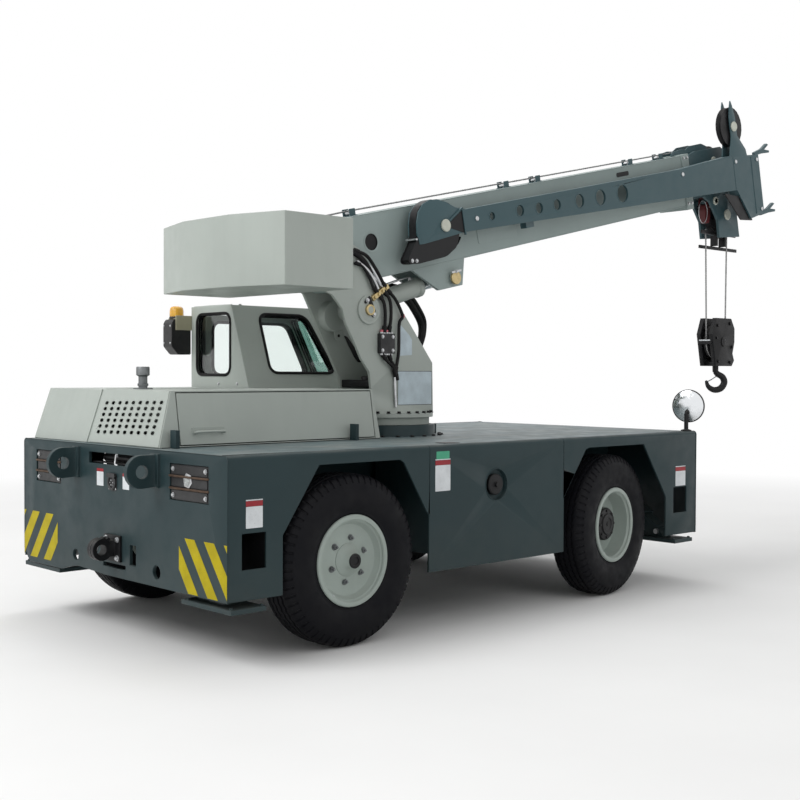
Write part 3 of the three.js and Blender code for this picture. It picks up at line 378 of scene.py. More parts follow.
# ---------------------------------------------------------------- finishes
class Graph:
    """A short way to write one material's nodes on Object coordinates."""

    def __init__(self, name: str) -> None:
        """Makes an empty material.

        Args:
            name: the material's name.
        """
        self.material = bpy.data.materials.new(name)
        self.material.use_nodes = True
        self.tree = self.material.node_tree
        self.shader = self.tree.nodes["Principled BSDF"]
        self.here = self.node("ShaderNodeTexCoord").outputs["Object"]

    def node(self, kind: str, inputs: dict | None = None, **settings: object) -> bpy.types.Node:
        """Adds a node.

        Args:
            kind: the node's type.
            inputs: values or sockets by input name or number.
            settings: the node's own properties.

        Returns:
            The new node.
        """
        made = self.tree.nodes.new(kind)
        for key, value in settings.items():
            setattr(made, key, value)
        for key, value in (inputs or {}).items():
            if isinstance(value, bpy.types.NodeSocket):
                self.tree.links.new(value, made.inputs[key])
            else:
                made.inputs[key].default_value = value
        return made

    def set(self, **values: object) -> None:
        """Sets the shader's own sockets, with _ standing for a space in a socket's name."""
        for key, value in values.items():
            self.shader.inputs[key.replace("_", " ")].default_value = value

    def link(self, socket: bpy.types.NodeSocket, name: str) -> None:
        """Feeds one of the shader's sockets."""
        self.tree.links.new(socket, self.shader.inputs[name])

    def stretched(self, scale: Point) -> bpy.types.NodeSocket:
        """Object coordinates scaled by a vector."""
        return self.node("ShaderNodeMapping",
                         {"Vector": self.here, "Scale": tuple(scale)}).outputs[0]

    def noise(self, scale: float, detail: float = 3.0,
              stretch: Point = (1, 1, 1)) -> bpy.types.NodeSocket:
        """Fractal noise about 0.5, with so many cells in a metre."""
        where = self.stretched(stretch)
        return self.node("ShaderNodeTexNoise",
                         {"Vector": where, "Scale": scale, "Detail": detail}).outputs[0]

    def ramp(self, value: bpy.types.NodeSocket, low: float, high: float, to_low: float = 0.0,
             to_high: float = 1.0) -> bpy.types.NodeSocket:
        """A value mapped from low..high to to_low..to_high and held there outside."""
        return self.node("ShaderNodeMapRange", {0: value, 1: low, 2: high, 3: to_low,
                                                4: to_high}).outputs[0]

    def cloud(self, scale: float, detail: float, low: float, high: float, to_low: float = 0.0,
              to_high: float = 1.0) -> bpy.types.NodeSocket:
        """Fractal noise between two levels, mapped to to_low..to_high."""
        return self.ramp(self.noise(scale, detail), low, high, to_low, to_high)

    def math(self, operation: str, *values: object) -> bpy.types.NodeSocket:
        """Arithmetic on sockets and numbers."""
        return self.node("ShaderNodeMath", dict(enumerate(values)), operation=operation).outputs[0]

    def mix(self, share: object, a: object, b: object) -> bpy.types.NodeSocket:
        """A colour between a and b."""
        wide = [(*v, 1.0) if isinstance(v, tuple) and len(v) == 3 else v for v in (a, b)]
        return self.node("ShaderNodeMix", {0: share, 6: wide[0], 7: wide[1]},
                         data_type="RGBA").outputs[2]

    def part(self, name: str, vector: bpy.types.NodeSocket | None = None) -> bpy.types.NodeSocket:
        """One number of a vector, the Object coordinates unless another is given."""
        return self.node("ShaderNodeSeparateXYZ", {0: vector or self.here}).outputs[name]

    def facing_up(self) -> bpy.types.NodeSocket:
        """1 on surfaces that face the sky, 0 on walls and undersides."""
        normal = self.node("ShaderNodeNewGeometry").outputs["Normal"]
        return self.ramp(self.part("Z", normal), 0.35, 0.95)

    def bump(self, height: bpy.types.NodeSocket, distance: float, strength: float = 1.0) -> None:
        """Raises the surface by height times distance in metres."""
        made = self.node("ShaderNodeBump", {"Height": height, "Distance": distance,
                                            "Strength": strength})
        self.link(made.outputs[0], "Normal")


def shade(colour: RGB, by: float) -> RGB:
    """A colour made darker or lighter by a factor."""
    return tuple(min(1.0, c * by) for c in colour)


DUST: RGB = (0.30, 0.29, 0.26)


@dataclass(frozen=True)
class Finish:
    """A surface finish: a name, the record's material slot it belongs to and its own colour."""

    name: str
    slot: str
    colour: RGB

    @lru_cache(maxsize=None)
    def material(self) -> bpy.types.Material:
        """The material, made once."""
        graph = Graph(self.name)
        self.write(graph)
        return graph.material

    def write(self, graph: Graph) -> None:
        """Writes the shader.

        Args:
            graph: the empty material.
        """
        raise NotImplementedError


@dataclass(frozen=True)
class Paint(Finish):
    """Sprayed paint on plate: slight clouding, dust on what faces up, runs of dirt down the walls,
    fine scuffs and an orange-peel skin."""

    roughness: float = 0.4
    dirt: float = 0.4
    low_dirt: float = 0.0
    gloss: float = 0.4

    def write(self, graph: Graph) -> None:
        """Clouds the colour, lays dust and dirt over it, and bumps it."""
        cloud = graph.cloud(1.7, 4, 0.3, 0.7)
        colour = graph.mix(cloud, shade(self.colour, 0.93), shade(self.colour, 1.06))
        runs = graph.ramp(graph.noise(9, 4, (1.6, 1.6, 0.16)), 0.52, 0.78, 0.0, 0.22 * self.dirt)
        colour = graph.mix(runs, colour, shade(self.colour, 0.55))
        speck = graph.cloud(140, 2, 0.66, 0.76, 0.0, 0.30 * self.dirt)
        colour = graph.mix(speck, colour, shade(self.colour, 0.5))
        patch = graph.cloud(5, 5, 0.35, 0.75)
        dust = graph.math("MULTIPLY", graph.facing_up(), patch)
        colour = graph.mix(graph.math("MULTIPLY", dust, 0.5 * self.dirt), colour, DUST)
        if self.low_dirt:
            low = graph.ramp(graph.part("Z"), 0.62, 0.26)
            low = graph.math("MULTIPLY", low, graph.cloud(7, 5, 0.3, 0.7, 0.2, 1.0))
            colour = graph.mix(graph.math("MULTIPLY", low, self.low_dirt), colour,
                               (0.10, 0.095, 0.08))
        graph.link(colour, "Base Color")
        rough = graph.cloud(11, 5, 0.3, 0.7, self.roughness - 0.07, self.roughness + 0.12)
        graph.link(graph.math("ADD", rough, graph.math("MULTIPLY", dust, 0.2)), "Roughness")
        graph.set(Specular_IOR_Level=self.gloss)
        skin = graph.math("ADD", graph.math("MULTIPLY", graph.noise(420, 2), 0.12),
                          graph.noise(3.2, 2))
        graph.bump(skin, 0.0012, 0.55)


@dataclass(frozen=True)
class Metal(Finish):
    """Bare or plated metal with fine turning marks and stains."""

    roughness: float = 0.3
    stain: float = 0.3
    grain: float = 0.4

    def write(self, graph: Graph) -> None:
        """Stains the colour, varies the gloss and adds the marks."""
        stain = graph.cloud(26, 5, 0.48, 0.75, 0.0, self.stain)
        graph.link(graph.mix(stain, self.colour, shade(self.colour, 0.3)), "Base Color")
        rough = graph.cloud(60, 4, 0.3, 0.7, self.roughness, self.roughness + 0.2)
        graph.link(rough, "Roughness")
        graph.set(Metallic=1.0)
        graph.bump(graph.noise(500, 2, (1, 0.12, 1)), 0.0002, self.grain)


@dataclass(frozen=True)
class Cast(Finish):
    """Rough cast or thickly painted metal, oily in places."""

    roughness: float = 0.55
    grain: float = 0.6

    def write(self, graph: Graph) -> None:
        """Greys the colour by a dusty noise, with oily patches and a sandy skin."""
        dusty = graph.cloud(14, 5, 0.42, 0.75, 0.0, 0.3)
        graph.link(graph.mix(dusty, self.colour, (0.05, 0.048, 0.044)), "Base Color")
        graph.link(graph.cloud(8, 4, 0.35, 0.65, self.roughness - 0.18, self.roughness + 0.15),
                   "Roughness")
        graph.bump(graph.noise(300, 3), 0.0009, self.grain)


@dataclass(frozen=True)
class Rubber(Finish):
    """Vulcanised rubber: nearly black, greyed by dust in patches and towards the ground."""

    dusting: float = 0.35
    roughness: float = 0.72

    def write(self, graph: Graph) -> None:
        """Mixes dust in by noise and height, over a fine grain."""
        dust = graph.cloud(9, 6, 0.38, 0.75, 0.0, self.dusting)
        low = graph.ramp(graph.part("Z"), 0.20, 0.0, 0.0, 0.35 * self.dusting)
        colour = graph.mix(graph.math("ADD", dust, low), self.colour, (0.075, 0.07, 0.062))
        graph.link(colour, "Base Color")
        graph.link(graph.cloud(20, 4, 0.3, 0.7, self.roughness - 0.12, self.roughness + 0.1),
                   "Roughness")
        graph.set(Specular_IOR_Level=0.1)
        graph.bump(graph.noise(260, 3), 0.0006, 0.5)


@dataclass(frozen=True)
class Moulded(Finish):
    """Moulded plastic or enamel with a faint leathery grain."""

    roughness: float = 0.4
    grain: float = 0.25

    def write(self, graph: Graph) -> None:
        """Varies the tone slightly and adds the grain."""
        tone = graph.cloud(12, 4, 0.3, 0.75, 0.0, 1.0)
        graph.link(graph.mix(tone, shade(self.colour, 0.88), shade(self.colour, 1.1)), "Base Color")
        graph.link(graph.cloud(30, 4, 0.3, 0.7, self.roughness - 0.06, self.roughness + 0.1),
                   "Roughness")
        graph.bump(graph.noise(700, 2), 0.0003, self.grain)


@dataclass(frozen=True)
class Glazing(Finish):
    """Tinted sheet glass or a clear lens, with a thin film of dust."""

    clear: float = 0.9
    roughness: float = 0.03

    def write(self, graph: Graph) -> None:
        """Transmits the tint, with dust raising the roughness a little."""
        film = graph.cloud(6, 5, 0.5, 0.85, 0.0, 0.05)
        graph.link(graph.mix(film, self.colour, (0.5, 0.5, 0.46)), "Base Color")
        graph.link(graph.cloud(18, 4, 0.4, 0.8, self.roughness, self.roughness + 0.03), "Roughness")
        graph.set(Transmission_Weight=self.clear, IOR=1.45)


@dataclass(frozen=True)
class Lens(Finish):
    """A moulded coloured lens with vertical flutes."""

    flutes: float = 120.0

    def write(self, graph: Graph) -> None:
        """Half clear colour with a fluted bump."""
        tone = graph.cloud(25, 3, 0.3, 0.7)
        graph.link(graph.mix(tone, shade(self.colour, 0.8), shade(self.colour, 1.15)), "Base Color")
        graph.set(Roughness=0.12, Transmission_Weight=0.25, Coat_Weight=0.6)
        wave = graph.node("ShaderNodeTexWave", {"Vector": graph.here, "Scale": self.flutes},
                          bands_direction="DIAGONAL")
        graph.bump(wave.outputs[1], 0.0008, 0.5)


@dataclass(frozen=True)
class Vinyl(Finish):
    """Seat vinyl: a pebbled grain with soft creases and a dull sheen."""

    def write(self, graph: Graph) -> None:
        """Wears the colour and adds pebbles from a cell pattern and creases from noise."""
        wear = graph.cloud(7, 5, 0.5, 0.8, 0.0, 0.35)
        graph.link(graph.mix(wear, self.colour, shade(self.colour, 2.6)), "Base Color")
        pebble = graph.node("ShaderNodeTexVoronoi",
                            {"Vector": graph.here, "Scale": 420.0}).outputs["Distance"]
        crease = graph.noise(22, 4, (1, 2.6, 1))
        graph.link(graph.cloud(40, 3, 0.3, 0.7, 0.42, 0.6), "Roughness")
        graph.set(Sheen_Weight=0.15)
        graph.bump(graph.math("ADD", pebble, graph.math("MULTIPLY", crease, 2.2)), 0.0009, 0.6)


@dataclass(frozen=True)
class Decal(Finish):
    """A printed film on the paint, faded and a little dirty, with no print on it."""

    gloss: float = 0.4

    def write(self, graph: Graph) -> None:
        """Fades the colour in patches and darkens it in fine specks."""
        fade = graph.cloud(16, 5, 0.35, 0.7)
        colour = graph.mix(fade, shade(self.colour, 0.86), shade(self.colour, 1.04))
        speck = graph.cloud(160, 2, 0.62, 0.74, 0.0, 0.3)
        graph.link(graph.mix(speck, colour, shade(self.colour, 0.45)), "Base Color")
        graph.link(graph.cloud(24, 3, 0.3, 0.7, 0.3, 0.48), "Roughness")
        graph.set(Specular_IOR_Level=self.gloss)
        graph.bump(graph.noise(90, 3), 0.0003, 0.3)


class Coat(Enum):
    """Every finish on the crane."""

    SLATE = Paint("slate_paint", "slate_paint", (0.020, 0.038, 0.042), 0.38, 0.4, 0.16, 0.2)
    # The deck's coat is the body's slate lightened: the lightening is painted light on the deck's upward face, and
    # its heavier dust is real.
    DECK = Paint("deck_slate_painted_light", "slate_paint", (0.078, 0.118, 0.128), 0.42, 0.8, 0.0, 0.5)
    JIB = Paint("jib_slate", "slate_paint", (0.044, 0.088, 0.100), 0.36, 0.25, 0.0, 0.3)
    GREY = Paint("light_grey_paint", "grey_paint", (0.375, 0.412, 0.382), 0.42, 0.35)
    # The boom's coat is the light grey darkened partway: the darkening is painted shade for the shadow that the
    # boom's sides lie in.
    BOOM = Paint("boom_grey_painted_shade", "grey_paint", (0.285, 0.345, 0.335), 0.42, 0.35)
    RIM = Paint("wheel_paint", "rim_paint", (0.31, 0.36, 0.33), 0.42, 0.8)
    KHAKI = Paint("bracket_paint", "grey_paint", (0.36, 0.34, 0.24), 0.5, 0.6)
    BLACK = Paint("black_enamel", "black_paint", (0.007, 0.007, 0.008), 0.38, 0.35, 0.0, 0.25)
    RED = Paint("dark_red_paint", "black_paint", (0.105, 0.016, 0.018), 0.5, 0.7)
    CAST = Cast("cast_black", "cast_metal", (0.012, 0.012, 0.014))
    STEEL = Metal("bright_steel", "steel", (0.55, 0.56, 0.57), 0.28, 0.35)
    ROPE = Metal("wire_rope", "steel", (0.30, 0.30, 0.30), 0.42, 0.6)
    RUST = Metal("brown_steel", "steel", (0.11, 0.075, 0.055), 0.5, 0.6)
    DULL = Metal("dull_steel", "steel", (0.20, 0.21, 0.215), 0.5, 0.5)
    BRASS = Metal("plated_pin", "steel", (0.56, 0.45, 0.24), 0.38, 0.45)
    CHROME = Metal("chrome_rod", "chrome_rod", (0.78, 0.80, 0.82), 0.07, 0.1, 0.1)
    CREAM = Moulded("pin_cap", "black_plastic", (0.56, 0.58, 0.50), 0.45)
    TYRE = Rubber("tyre_rubber", "tyre_rubber", (0.0042, 0.0044, 0.0062), 0.05, 0.55)
    HOSE = Rubber("hose_rubber", "black_plastic", (0.012, 0.012, 0.013), 0.18, 0.5)
    SEAL = Rubber("window_seal", "black_plastic", (0.010, 0.010, 0.011), 0.12, 0.55)
    PLASTIC = Moulded("black_moulding", "black_plastic", (0.008, 0.008, 0.009), 0.42)
    PINK = Moulded("red_caps", "black_plastic", (0.55, 0.12, 0.16), 0.4)
    GLASS = Glazing("green_glass", "cab_glass", (0.94, 0.98, 0.965), 1.0, 0.0)
    SCREEN = Glazing("dark_green_glass", "cab_glass", (0.18, 0.37, 0.31), 1.0, 0.0)
    CLEAR = Glazing("clear_lens", "cab_glass", (0.85, 0.88, 0.86), 0.8, 0.06)
    AMBER = Lens("amber_lens", "black_plastic", (0.90, 0.46, 0.012))
    MIRROR = Metal("mirror_face", "mirror_glass", (0.80, 0.82, 0.84), 0.04, 0.06, 0.0)
    VINYL = Vinyl("seat_vinyl", "seat_vinyl", (0.016, 0.016, 0.018))
    YELLOW = Decal("yellow_film", "slate_paint", (0.44, 0.355, 0.004), 0.12)
    WHITE = Decal("white_film", "slate_paint", (0.66, 0.69, 0.71))
    CHART = Decal("blue_white_film", "grey_paint", (0.50, 0.59, 0.64))
    GREEN = Decal("green_film", "slate_paint", (0.055, 0.34, 0.20))
    RED_FILM = Decal("red_film", "slate_paint", (0.30, 0.012, 0.020))


# ---------------------------------------------------------------- making pieces
def finished(name: str, mesh: bpy.types.Mesh, coat: Coat, body: str, bevel: float,
             angle: float) -> bpy.types.Object:
    """Makes the object of a mesh, gives it its finish and, when it has a body, parents it to that body's empty.

    Args:
        name: the piece's name.
        mesh: its mesh, already in place.
        coat: its finish.
        bevel: the width in millimetres of its rounded edges, or 0.
        angle: the angle in degrees past which an edge is sharp.

    Returns:
        The object.
    """
    mesh.shade_smooth()
    mesh.set_sharp_from_angle(angle=math.radians(angle))
    obj = bpy.data.objects.new(name, mesh)
    bpy.context.scene.collection.objects.link(obj)
    if bevel:
        edge = obj.modifiers.new("rounded_edges", "BEVEL")
        edge.width, edge.segments = bevel * MM, BEVEL_SEGMENTS
        edge.limit_method, edge.angle_limit = "ANGLE", math.radians(angle)
        edge.use_clamp_overlap = False
        edge.harden_normals = True
    obj.data.materials.clear()
    obj.data.materials.append(coat.value.material())
    if body:
        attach(obj, body)
    log.info("%s: %d faces, %s, rides on %s", name, len(mesh.polygons), coat.name.lower(), body)
    return obj


def piece(name: str, shapes: Shape | Iterable[Shape], coat: Coat, body: str = "carrier",
          bevel: float = 0.0, *, place: Place = CARRIER, replaces: Sequence[str] = (),
          angle: float = 32.0) -> bpy.types.Object:
    """Makes one piece of the crane from shapes.

    Args:
        name: the piece's name.
        shapes: one shape or several, in the place's millimetres.
        coat: the finish.
        bevel: the width of its rounded edges in millimetres.
        place: the axes they are in.
        replaces: CAD nodes that it stands for.
        angle: the angle in degrees past which an edge is sharp.

    Returns:
        The object, closed and with its faces pointing out.
    """
    shape = shapes if isinstance(shapes, Shape) else joined(shapes)
    mesh = bpy.data.meshes.new(name)
    mesh.from_pydata(place.to_frame(shape.points), [], shape.faces)
    work = bmesh.new()
    work.from_mesh(mesh)
    bmesh.ops.remove_doubles(work, verts=work.verts, dist=2e-6)
    bmesh.ops.dissolve_degenerate(work, edges=work.edges, dist=1e-7)
    bmesh.ops.recalc_face_normals(work, faces=work.faces)
    work.to_mesh(mesh)
    work.free()
    obj = finished(name, mesh, coat, body, bevel, angle)
    if replaces:
        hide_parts(*replaces)
    return obj


def softened(node: str, coat: Coat, width: float = 2.0, angle: float = 32.0) -> bpy.types.Object:
    """Stands a copy of a structural node in its place: its loose triangles are merged, its flat
    areas are made whole and its sharp edges are rounded.

    Args:
        node: the CAD node.
        coat: its finish.
        width: the width of its rounded edges in millimetres.
        angle: the angle in degrees past which an edge is sharp.

    Returns:
        The piece that stands for the node.
    """
    work = bmesh.new()
    work.from_mesh(frame["nodes"][node].data)
    bmesh.ops.remove_doubles(work, verts=work.verts, dist=1e-5)
    area = sum(f.calc_area() for f in work.faces)
    flat = work.copy()
    bmesh.ops.dissolve_limit(flat, angle_limit=math.radians(0.5), verts=flat.verts,
                             edges=flat.edges)
    many = [f for f in flat.faces if len(f.verts) > 4]
    bmesh.ops.triangulate(flat, faces=many, quad_method="BEAUTY", ngon_method="BEAUTY")
    if abs(sum(f.calc_area() for f in flat.faces) - area) < 1e-5 * area:
        work = flat
    else:
        log.info("%s keeps its own triangles", node)
    mesh = bpy.data.meshes.new(node + "_plate")
    work.to_mesh(mesh)
    work.free()
    obj = finished(node + "_skin", mesh, coat, BODY_OF[node], width, angle)
    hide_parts(node)
    return obj


def kept(node: str, coat: Coat) -> None:
    """Leaves a CAD node showing, with a finish of its own."""
    data = frame["nodes"][node].data
    data.materials.clear()
    data.materials.append(coat.value.material())


# ---------------------------------------------------------------- the studio
@dataclass
class Studio:
    """The camera, a pale floor that fades to white, and soft light from behind the crane's tail."""

    eye: tuple[float, float, float] = (-6.0549, -5.4236, 1.3479)
    azimuth: float = -43.313
    elevation: float = 1.32
    roll: float = 0.232
    lens: float = 54.71
    floor_half: float = 60.0
    pool: float = 7.0

    def build(self) -> None:
        """Makes everything that isn't the crane."""
        bpy.context.scene.view_settings.view_transform = "Standard"
        self.camera()
        self.floor()
        self.light()

    def camera(self) -> None:
        """Stands the camera level with the cab floor, off the tail's right corner."""
        a, e = math.radians(self.azimuth), math.radians(self.elevation)
        back = Vector((math.sin(a) * math.cos(e), -math.cos(a) * math.cos(e), math.sin(e)))
        side = (-back).cross(Vector((0, 0, 1))).normalized()
        top = back.cross(side)
        r = math.radians(self.roll)
        side, top = side * math.cos(r) + top * math.sin(r), top * math.cos(r) - side * math.sin(r)
        data = bpy.data.cameras.new("camera")
        data.lens, data.sensor_width = self.lens, 36.0
        data.clip_end = 500.0
        obj = bpy.data.objects.new("camera", data)
        obj.matrix_world = Matrix((side, top, back)).transposed().to_4x4()
        obj.location = self.eye
        bpy.context.scene.collection.objects.link(obj)
        bpy.context.scene.camera = obj

    def floor(self) -> None:
        """A level square whose paleness turns to plain white away from the crane."""
        h = self.floor_half
        mesh = bpy.data.meshes.new("floor")
        mesh.from_pydata([(-h, -h, 0), (h, -h, 0), (h, h, 0), (-h, h, 0)], [], [[0, 1, 2, 3]])
        obj = bpy.data.objects.new("floor", mesh)
        bpy.context.scene.collection.objects.link(obj)
        graph = Graph("pale_floor")
        graph.set(Roughness=0.9, Specular_IOR_Level=0.1)
        tone = graph.cloud(0.7, 4, 0.3, 0.7)
        graph.link(graph.mix(tone, (0.80, 0.80, 0.795), (0.84, 0.84, 0.835)), "Base Color")
        away = graph.node("ShaderNodeVectorMath", {0: graph.here},
                          operation="LENGTH").outputs["Value"]
        fade = graph.ramp(away, self.pool * 0.55, self.pool * 1.3)
        path = graph.node("ShaderNodeLightPath").outputs
        seen = graph.math("MAXIMUM", path["Is Camera Ray"], path["Is Glossy Ray"])
        seen = graph.math("MAXIMUM", seen, path["Is Transmission Ray"])
        white = graph.node("ShaderNodeEmission",
                           {"Color": (1, 1, 1, 1), "Strength": 1.0}).outputs[0]
        both = graph.node("ShaderNodeMixShader",
                          {0: graph.math("MULTIPLY", fade, seen), 1: graph.shader.outputs[0],
                           2: white}).outputs[0]
        out = next(n for n in graph.tree.nodes if n.type == "OUTPUT_MATERIAL")
        graph.tree.links.new(both, out.inputs["Surface"])
        mesh.materials.append(graph.material)

    def light(self) -> None:
        """An even sky, a broad key over the tail's left corner and a weak fill over the right."""
        world = bpy.data.worlds.new("sky")
        world.use_nodes = True
        bpy.context.scene.world = world
        tree = world.node_tree
        sky = tree.nodes["Background"]
        path = tree.nodes.new("ShaderNodeLightPath").outputs
        seen = path["Is Camera Ray"]
        for name in ("Is Glossy Ray", "Is Transmission Ray"):
            pair = tree.nodes.new("ShaderNodeMath")
            pair.operation = "MAXIMUM"
            tree.links.new(seen, pair.inputs[0])
            tree.links.new(path[name], pair.inputs[1])
            seen = pair.outputs[0]
        level = tree.nodes.new("ShaderNodeMapRange")
        level.inputs[3].default_value, level.inputs[4].default_value = 0.62, 1.0
        tree.links.new(seen, level.inputs[0])
        tree.links.new(level.outputs[0], sky.inputs["Strength"])
        sky.inputs["Color"].default_value = (1, 1, 1, 1)
        self.lamp("key", (-9.0, 1.5, 7.5), 520.0, 5.0)
        self.lamp("fill", (-2.0, -9.0, 6.0), 95.0, 6.0)
        self.lamp("top", (2.0, 3.0, 10.0), 330.0, 7.0)

    def lamp(self, name: str, at: tuple[float, float, float], power: float, size: float) -> None:
        """A square lamp that faces the crane.

        Args:
            name: its name.
            at: where it hangs, in metres.
            power: its power in watts.
            size: the length of its side in metres.
        """
        data = bpy.data.lights.new(name, "AREA")
        data.energy, data.size = power, size
        obj = bpy.data.objects.new(name, data)
        obj.location = at
        obj.rotation_mode = "QUATERNION"
        obj.rotation_quaternion = (Vector((0, 0, 1.2)) - Vector(at)).to_track_quat("-Z", "Y")
        bpy.context.scene.collection.objects.link(obj)


# ---------------------------------------------------------------- carrier body
@dataclass
class CarrierBody:
    """The slate plates of the carrier with their lamps, sockets, films and small fittings."""

    lamp_low: float = 742.0
    lamp_high: float = 914.0
    lamps: tuple[tuple[float, float], ...] = ((555.0, 830.0), (-830.0, -510.0))
    lamp_bays: float = 14.0
    film: float = 0.8
    stripe_pitch: float = 157.0
    stripe_width: float = 80.0
    stripe_lean: float = 0.736
    stripe_box: tuple[float, float, float, float] = (590.0, 976.0, 316.0, 571.0)
    filler: tuple[float, float, float] = (1777.0, 738.0, 86.0)

    def build(self) -> None:
        """Dresses the plates and adds what is on them."""
        for node in ("rear_body", "front_body", "right_side_tank", "left_side_panel"):
            softened(node, Coat.SLATE, 3.0)
        # The deck plate takes the slate lightened with painted light.
        softened("deck_plate", Coat.DECK, 1.5)
        for node in ("chassis_frame", "rear_outrigger_box", "front_outrigger_box",
                     "turntable_pedestal"):
            softened(node, Coat.SLATE, 2.0)
        self.stripes()
        self.rear_lamps()
        self.sockets()
        self.films()
        self.deck_fittings()
        self.side_fittings()
        self.weld_beads()

    def stripes(self) -> None:
        """Slanting yellow bars on both tail corners: parallelograms cut to the marked area."""
        y0, y1, z0, z1 = self.stripe_box
        lean = self.stripe_lean * (z1 - z0)
        bars = []
        for k in range(-1, 4):
            y = y0 + 78 + k * self.stripe_pitch
            corners = np.array([[y, z0], [y + self.stripe_width, z0],
                                [y + self.stripe_width - lean, z1], [y - lean, z1]])
            cut = clipped(corners, (y0, z0), (y1, z1))
            if len(cut) > 2 and np.ptp(cut[:, 1]) > 30:
                bars.append(slab(cut, "x", -self.film, 0.4))
        left = joined(bars)
        piece("hazard_stripes", [left, left.mirrored()], Coat.YELLOW)

    def rear_lamps(self) -> None:
        """Black lamp boxes in the tail's bays, with guard bars, bolts and lenses."""
        housings, guards, bolts, lenses, clears = [], [], [], [], []
        z0, z1 = self.lamp_low, self.lamp_high
        third = (z1 - z0) / 3
        for y0, y1 in self.lamps:
            frame_line = oblong(y0 + 3, z0 + 3, y1 - 3, z1 - 3, 12)
            housings.append(slab(frame_line, "x", 6.0, self.lamp_bays - 0.4))
            for k in range(3):
                a, b = z0 + third * k + 8, z0 + third * (k + 1) - 8
                housings.append(slab(oblong(y0 + 12, a, y1 - 12, b, 10), "x", 2.5, 8.0))
            for k in (1, 2):
                z = z0 + third * k
                bar = smooth([(9, y0 + 4, z), (-4, y0 + 14, z), (-5, (y0 + y1) / 2, z),
                              (-4, y1 - 14, z), (9, y1 - 4, z)], 8)
                guards.append(tube(bar, 5.5, 10))
            for y in (y0 + 26, y1 - 26):
                for z in (z0 + 24, z1 - 24):
                    bolts.append(hex_bolt("x", 15, 8, -1).shifted((3, y, z)))
            at = (0, y0 + 170 if y0 < 0 else y1 - 150, z0 + 97)
            for made, profile in ((clears, [[0, -4], [30, -4], [30, 1], [22, 6], [0, 9]]),
                                  (lenses, [[0, -4], [37, -4], [37, 0], [31, 2], [0, 2]])):
                lens = spun(profile, "x", 6)
                made.append(lens.turned("x", 14).mirrored("x").shifted(at))
        piece("lamp_housings", housings, Coat.PLASTIC, bevel=1.2)
        piece("lamp_guards", guards, Coat.RUST)
        piece("lamp_bolts", bolts, Coat.STEEL)
        piece("lamp_lens_frames", lenses, Coat.STEEL)
        piece("lamp_clear_lenses", clears, Coat.CLEAR)

    def sockets(self) -> None:
        """The round trailer socket with its lid and screws, and what sits in the tail's slot: a latch, a black
        cylinder and two thin black plates that are painted shade for the slot's dark inside.
        """
        ring = [[26, 0], [37, 0], [39, 3], [39, 9], [36, 12], [29, 12], [26, 8], [26, 0]]
        cup = spun(ring, "x", 40).mirrored("x").shifted((0, 12, 786))
        insert = slab(circle(27, 32) + np.array([12, 786]), "x", -4, 0.4)
        lid = slab(rounded([[-30, 812], [54, 812], [48, 834], [-24, 834]], 8), "x", -15, -2)
        pins = [spun([[0, 0], [3, 0], [3, 5], [0, 6]], "x", 10,
                     (-9, 12 + 14 * math.cos(t), 786 + 14 * math.sin(t))) for t in full_turn(6)]
        corners = [(0, 12 + y, 786 + z) for y in (-31, 31) for z in (-31, 31)]
        screws = [hex_bolt("x", 9, 4, -1).shifted(p) for p in corners]
        face = slab(oblong(-28, 746, 52, 826, 10), "x", -2.5, 0.4)
        piece("trailer_socket", [cup, insert, lid, face], Coat.CAST, bevel=0.8)
        piece("socket_pins", pins + screws, Coat.STEEL)
        latch = tube(smooth([(10, -4, 925), (6, -4, 900), (2, -8, 880), (8, -22, 872)], 8), 5, 10)
        piece("slot_latch", [latch, block((12, -14, 912), (19, 6, 930))], Coat.STEEL, bevel=0.6)
        # Two thin black plates (shade_box) are painted shade for the dark inside of the tail's slot.
        shade_box = [block((21, -203, 876), (60, 250, 882)),
                     block((118, -230, 876), (124, 250, 935))]
        cylinder = spun(rod(22, -190, 180), "y", 24, (75, 20, 902))
        piece("slot_tank_and_painted_shade", [*shade_box, cylinder], Coat.BLACK, bevel=1.0)

    def films(self) -> None:
        """Blank films on the tail and the right side, white under a red band, and a green one."""
        f = self.film
        white, red, green = [], [], []
        for y0, y1, z0, z1 in ((104, 170, 762, 850), (-145, -84, 759, 838)):
            white.append(slab(oblong(y0, z0, y1, z1 - 16, 3), "x", -f, 0.3))
            red.append(slab(oblong(y0, z1 - 15, y1, z1, 3), "x", -f, 0.3))
        side = -HALF_WIDTH
        for x0, x1, z0, z1 in ((101, 195, 639, 763), (1305, 1416, 729, 890),
                               (3480, 3590, 624, 745)):
            white.append(slab(oblong(x0, z0, x1, z1 - 26, 3), "y", side - f, side + 0.3))
            red.append(slab(oblong(x0, z1 - 25, x1, z1, 3), "y", side - f, side + 0.3))
            white.append(slab(oblong(x0, z1 + 1, x1, z1 + 6, 2), "y", side - f, side + 0.3))
        green.append(slab(oblong(1312, 896, 1408, 936, 4), "y", side - f, side + 0.3))
        piece("white_films", white, Coat.WHITE)
        piece("red_films", red, Coat.RED_FILM)
        piece("green_film", green, Coat.GREEN)

    def deck_fittings(self) -> None:
        """Posts beside the hood, a lid on the deck's edge with its rim and the pedestal's bolts."""
        posts = []
        for x in (112, 1272):
            posts.append(slab(oblong(x, 971, x + 22, 1060, 3), "y", -392, -340))
        piece("hood_posts", posts, Coat.SLATE, bevel=1.5)
        lid = slab(oblong(1433, -925, 1548, -842, 14), "z", DECK_TOP - 1, DECK_TOP + 3)
        rim = slab(oblong(1423, -935, 1558, -832, 18), "z", DECK_TOP - 1, DECK_TOP + 1)
        piece("deck_lid", lid, Coat.BLACK, bevel=0.8)
